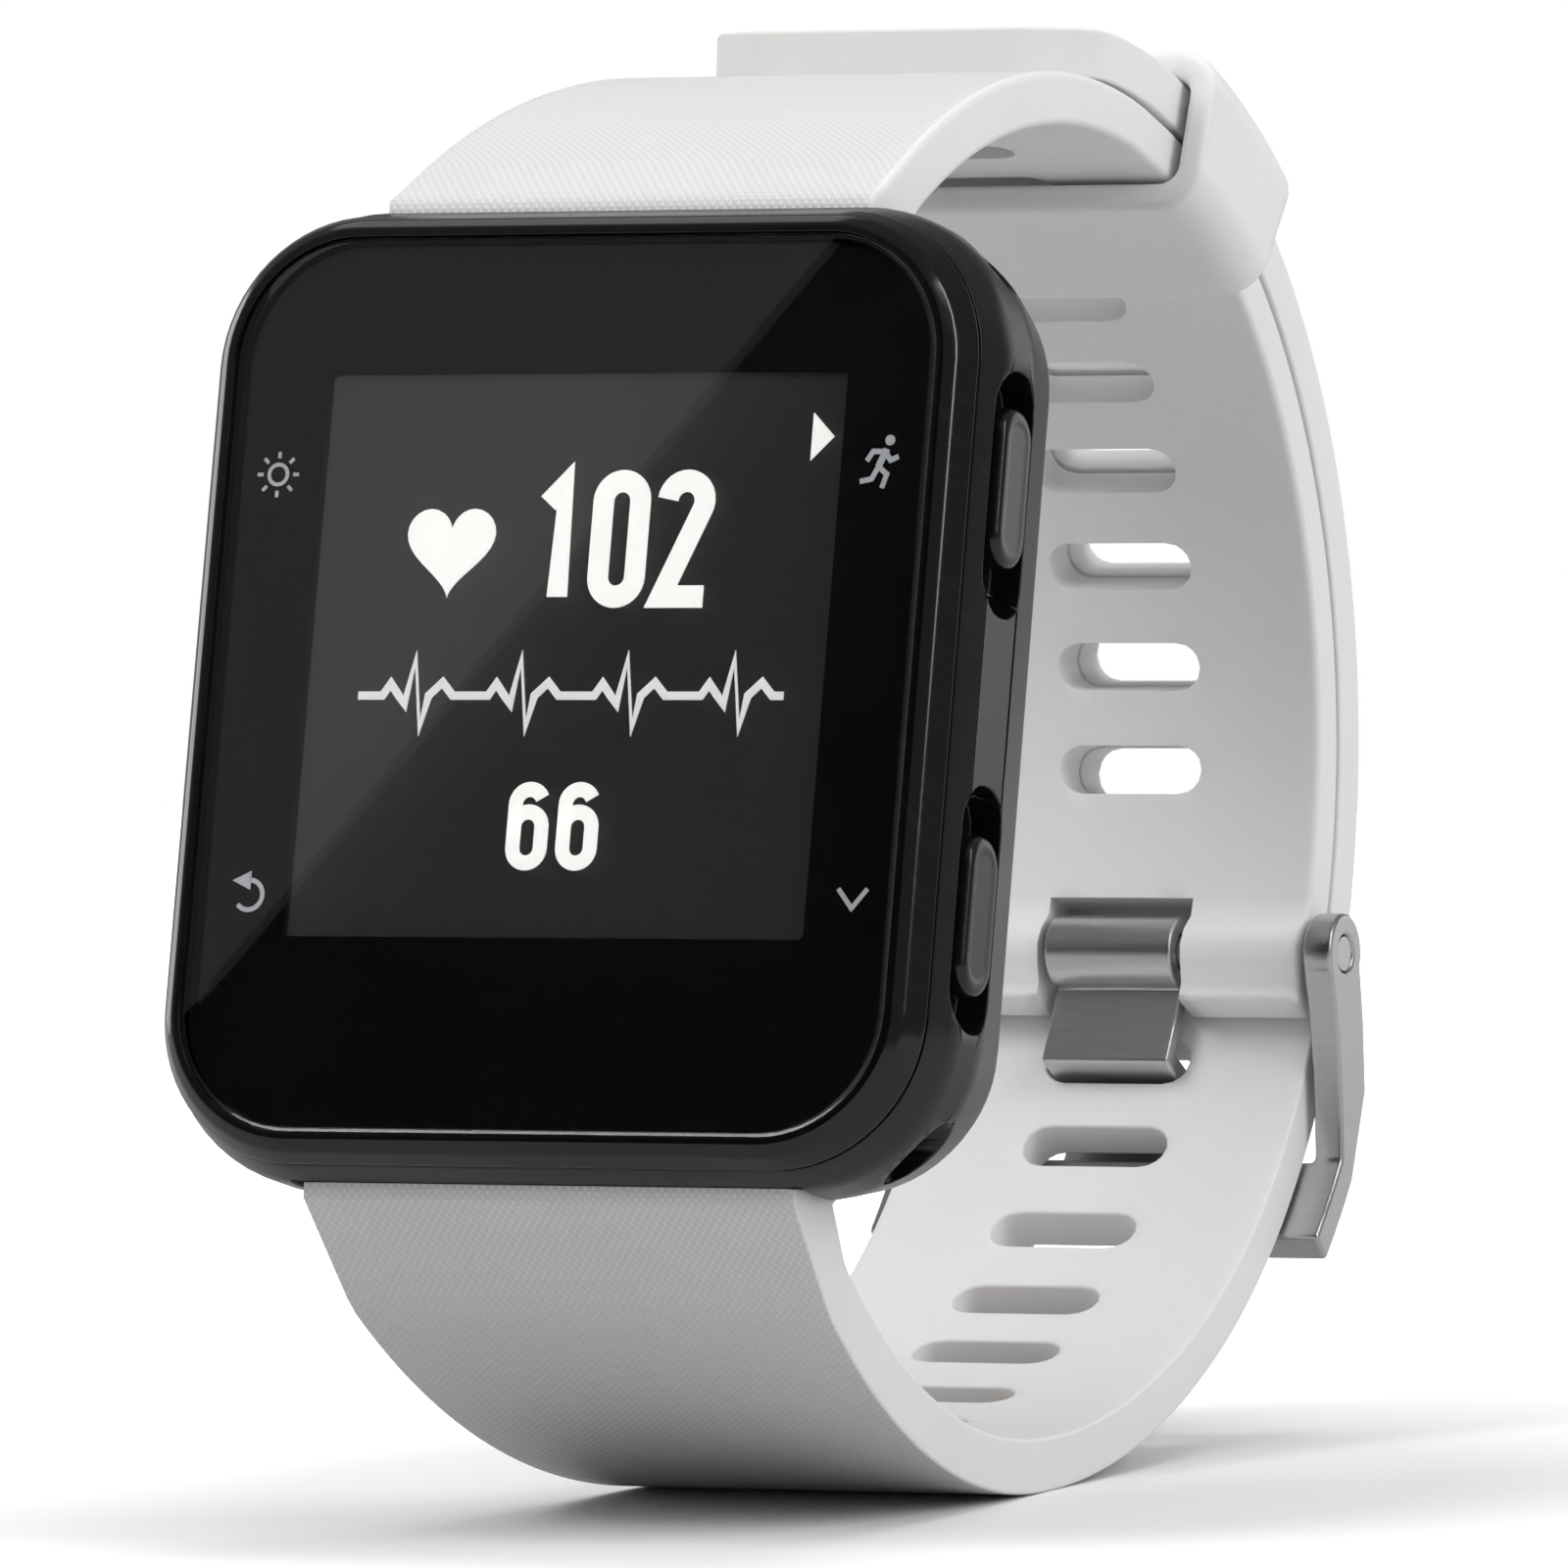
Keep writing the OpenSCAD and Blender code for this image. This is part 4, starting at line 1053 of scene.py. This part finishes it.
def makeLowerStrap():
    w = lower
    grow = (loop["rootThick"] - loop["thick"]) / (w["caseAngle"] - w["joinAngle"])

    def arcInner(angle):
        return w["radius"] - loop["thick"] - grow * (angle - w["joinAngle"])

    def tailInner(angle):
        return loop["tailInner"]

    path = StrapPath(rootPairs(-1))
    onArc = path.arc(w["centre"], w["radius"], arcInner, w["startAngle"], w["joinAngle"])
    onBack = path.arc(loop["centre"], loop["tailOuter"], tailInner, w["joinAngle"], 0)
    onTail = path.arc(loop["centre"], loop["tailOuter"], tailInner, 0, w["endAngle"], half=loop["endHalf"])
    step = strap["slotPitch"] * loop["tailOuter"] / w["radius"]
    slots = [onTail(w["firstSlot"] + strap["slotPitch"] * i) for i in range(w["tailSlots"])]
    slots += [onBack(a) for a in w["backSlots"]]
    slots += [onArc(w["backSlots"][-1] - step * (i + 1)) for i in range(w["arcSlots"])]
    makeStrap("strap_6_oclock", path, slots, ["lower_strap"], roundTip=w["tip"])


keeper = {"angle": 71.0, "spread": 18.0, "half": 10.65, "inHalf": 9.4, "low": 24.35, "high": 31.7,
          "wall": 1.25, "corner": 1.9, "inCorner": 0.8, "rim": 0.4, "rows": 12}


def makeKeeper():
    k = keeper
    middle = (k["low"] + k["high"]) / 2
    length = math.radians(k["spread"]) * middle
    outside = (2 * k["half"], k["high"] - k["low"], k["corner"])
    inside = (2 * k["inHalf"], k["high"] - k["low"] - 2 * k["wall"], k["inCorner"])
    places = [-length / 2 + length * i / k["rows"] for i in range(k["rows"] + 1)]
    levels = [(z, *outside) for z in places] + [(z, *inside) for z in reversed(places)]
    bm = stackedShell(levels, segments=8, closed=True)
    rim = [e for e in bm.edges if len(e.link_faces) == 2 and e.calc_face_angle(0) > fold]
    roundOff(bm, rim, k["rim"], segments=3)
    for v in bm.verts:
        angle = k["angle"] + math.degrees(v.co.z / middle)
        v.co = (v.co.x, *ringPoint(loop["centre"], middle + v.co.y, angle))
    finishPiece("keeper_band", bm, "keeper", "strap_keeper", ["strap_keeper"])


makeUpperStrap()
makeLowerStrap()
makeKeeper()
print("straps made")

buckle = {"merge": 0.002, "flat": math.radians(1.0), "frameRound": 0.22, "tongueRound": 0.16}


def polished(name, node, width):
    # the CAD solid's own outline, merged, with its edges rounded as polished steel is
    bm = bmesh.new()
    bm.from_mesh(nodes[node].data)
    bmesh.ops.transform(bm, matrix=toWatch, verts=bm.verts)
    bmesh.ops.remove_doubles(bm, verts=bm.verts, dist=buckle["merge"])
    bmesh.ops.dissolve_limit(bm, angle_limit=buckle["flat"], verts=bm.verts, edges=bm.edges)
    piece = finishPiece(name, bm, "buckle", node, [node])
    softEdges(piece, width, segments=3, degrees=35)


polished("buckle_loop", "buckle_frame", buckle["frameRound"])
polished("buckle_prong", "buckle_tongue", buckle["tongueRound"])
print("buckle made")

ground = {"seen": (0.95, 0.95, 0.95), "thrown": (0.55, 0.55, 0.55), "fadeFrom": 0.025, "fadeTo": 0.09,
          "glow": 0.7, "rough": 0.65}


def makeFloor():
    bm = bmesh.new()
    bmesh.ops.create_grid(bm, x_segments=1, y_segments=1, size=0.5)
    floor = linkMesh("studio_floor", bm)
    # seen pale, but it throws less light back up, as a floor that falls away from the object does
    material, tree, shader = startMaterial("floorPale")
    seen = addNode(tree, "LightPath").outputs["Is Camera Ray"]
    far = addNode(tree, "VectorMath", {0: ownPlace(tree)}, operation="LENGTH").outputs["Value"]
    fade = addNode(tree, "MapRange", {
        "Value": far, "From Min": ground["fadeFrom"], "From Max": ground["fadeTo"], "To Max": ground["glow"]})
    feed(tree, shader, {
        "Base Color": blendColour(tree, seen, ground["thrown"], ground["seen"]),
        "Emission Color": (1, 1, 1, 1),
        "Emission Strength": mathNode(tree, "MULTIPLY", seen, fade.outputs["Result"]),
        "Roughness": ground["rough"],
        "Specular IOR Level": 0.1,
    })
    floor.data.materials.append(material)


view = {"aim": (8.39, -25.0, 31.03), "distance": 685.08, "azimuth": math.radians(25.05),
        "elevation": math.radians(2.87), "roll": math.radians(-1.17), "lens": 386.85, "clipEnd": 50}


def makeCamera():
    flat = math.cos(view["elevation"])
    away = Vector((math.sin(view["azimuth"]) * flat, -math.cos(view["azimuth"]) * flat,
                   math.sin(view["elevation"])))
    data = bpy.data.cameras.new("camera")
    data.lens = view["lens"]
    data.clip_end = view["clipEnd"]
    camera = bpy.data.objects.new("camera", data)
    scene.collection.objects.link(camera)
    turn = away.to_track_quat("Z", "Y").to_matrix().to_4x4()
    place = (Vector(view["aim"]) + away * view["distance"]) * mm
    camera.matrix_world = Matrix.Translation(place) @ turn @ Matrix.Rotation(view["roll"], 4, "Z")
    scene.camera = camera
    return place


lampAim = Vector((0, 0, 0.03))
lamps = {  # place, size, power, and whether only glossy reflections show it
    "keyLamp": ((-0.42, -0.50, 0.75), (0.5, 0.5), 4.3, False),
    "topLamp": ((0.12, 0.25, 0.9), (0.6, 0.6), 3.2, False),
    "sideLamp": ((0.75, -0.05, 0.45), (0.4, 0.6), 3.0, False),
    # these only draw the highlights along the black case's edges
    "edgePanel": ((0.6, -0.12, 0.45), (0.06, 0.6), 1.2, True),
    "rightPanel": ((0.35, 0.75, 0.12), (0.45, 0.5), 0.6, True),
    "leftPanel": ((-0.8, 0.4, 0.08), (0.3, 0.5), 0.9, True),
    "backPanel": ((-0.38, 0.36, 0.8), (0.3, 0.3), 0.3, True),
}


def makeLamp(name, place, size, power, glossy):
    data = bpy.data.lights.new(name, "AREA")
    data.shape = "RECTANGLE"
    data.size, data.size_y = size
    data.energy = power
    lamp = bpy.data.objects.new(name, data)
    scene.collection.objects.link(lamp)
    turn = (Vector(place) - lampAim).to_track_quat("Z", "Y").to_matrix().to_4x4()
    lamp.matrix_world = Matrix.Translation(place) @ turn
    lamp.visible_camera = False
    lamp.visible_glossy = glossy
    lamp.visible_diffuse = not glossy


# on the glass: two points of the reflected edge and one on its dark side, in the watch's axes
flag = {"from": (11.27, 18.77), "to": (-15.51, -13.64), "dark": (10.0, -10.0), "distance": 0.3,
        "beyond": 0.25, "deep": 0.4}


def makeFlag(eye):
    # a black card whose reflection darkens half of the glass, from corner to corner
    normal = (toFrame.to_3x3() @ Vector((0, 0, 1))).normalized()

    def mirrored(point):
        spot = toFrame @ Vector((*point, 0))
        ray = (spot - eye).normalized()
        return spot + (ray - 2 * ray.dot(normal) * normal) * flag["distance"]

    a, b, dark = (mirrored(flag[key]) for key in ("from", "to", "dark"))
    along = (a - b).normalized()
    side = dark - a
    side = (side - along * side.dot(along)).normalized()
    corners = [a + along * flag["beyond"], b - along * flag["beyond"]]
    corners += [corners[1] + side * flag["deep"], corners[0] + side * flag["deep"]]
    bm = bmesh.new()
    bm.faces.new([bm.verts.new(c) for c in corners])
    card = linkMesh("studio_flag", bm)
    material, tree, shader = startMaterial("flagBlack")
    feed(tree, shader, {"Base Color": (0.0, 0.0, 0.0, 1), "Specular IOR Level": 0.0})
    card.data.materials.append(material)
    card.visible_camera = card.visible_diffuse = card.visible_shadow = False


sky = {"diffuse": 0.36, "Is Glossy Ray": 0.21, "Is Camera Ray": 1.0}


def makeWorld():
    world = bpy.data.worlds.new("studio")
    world.use_nodes = True
    tree = world.node_tree
    path = addNode(tree, "LightPath")
    last = feed(tree, tree.nodes["Background"], {"Strength": sky["diffuse"], "Color": (1, 1, 1, 1)})
    for ray in ("Is Glossy Ray", "Is Camera Ray"):
        light = addNode(tree, "Background", {"Color": (1, 1, 1, 1), "Strength": sky[ray]})
        last = addNode(tree, "MixShader", {
            "Fac": path.outputs[ray], 1: last.outputs[0], 2: light.outputs["Background"]})
    feed(tree, tree.nodes["World Output"], {"Surface": last.outputs[0]})
    scene.world = world


makeFloor()
eye = makeCamera()
makeWorld()
makeFlag(eye)
for name, lamp in lamps.items():
    makeLamp(name, *lamp)
scene.view_settings.view_transform = "Standard"
print("studio made")
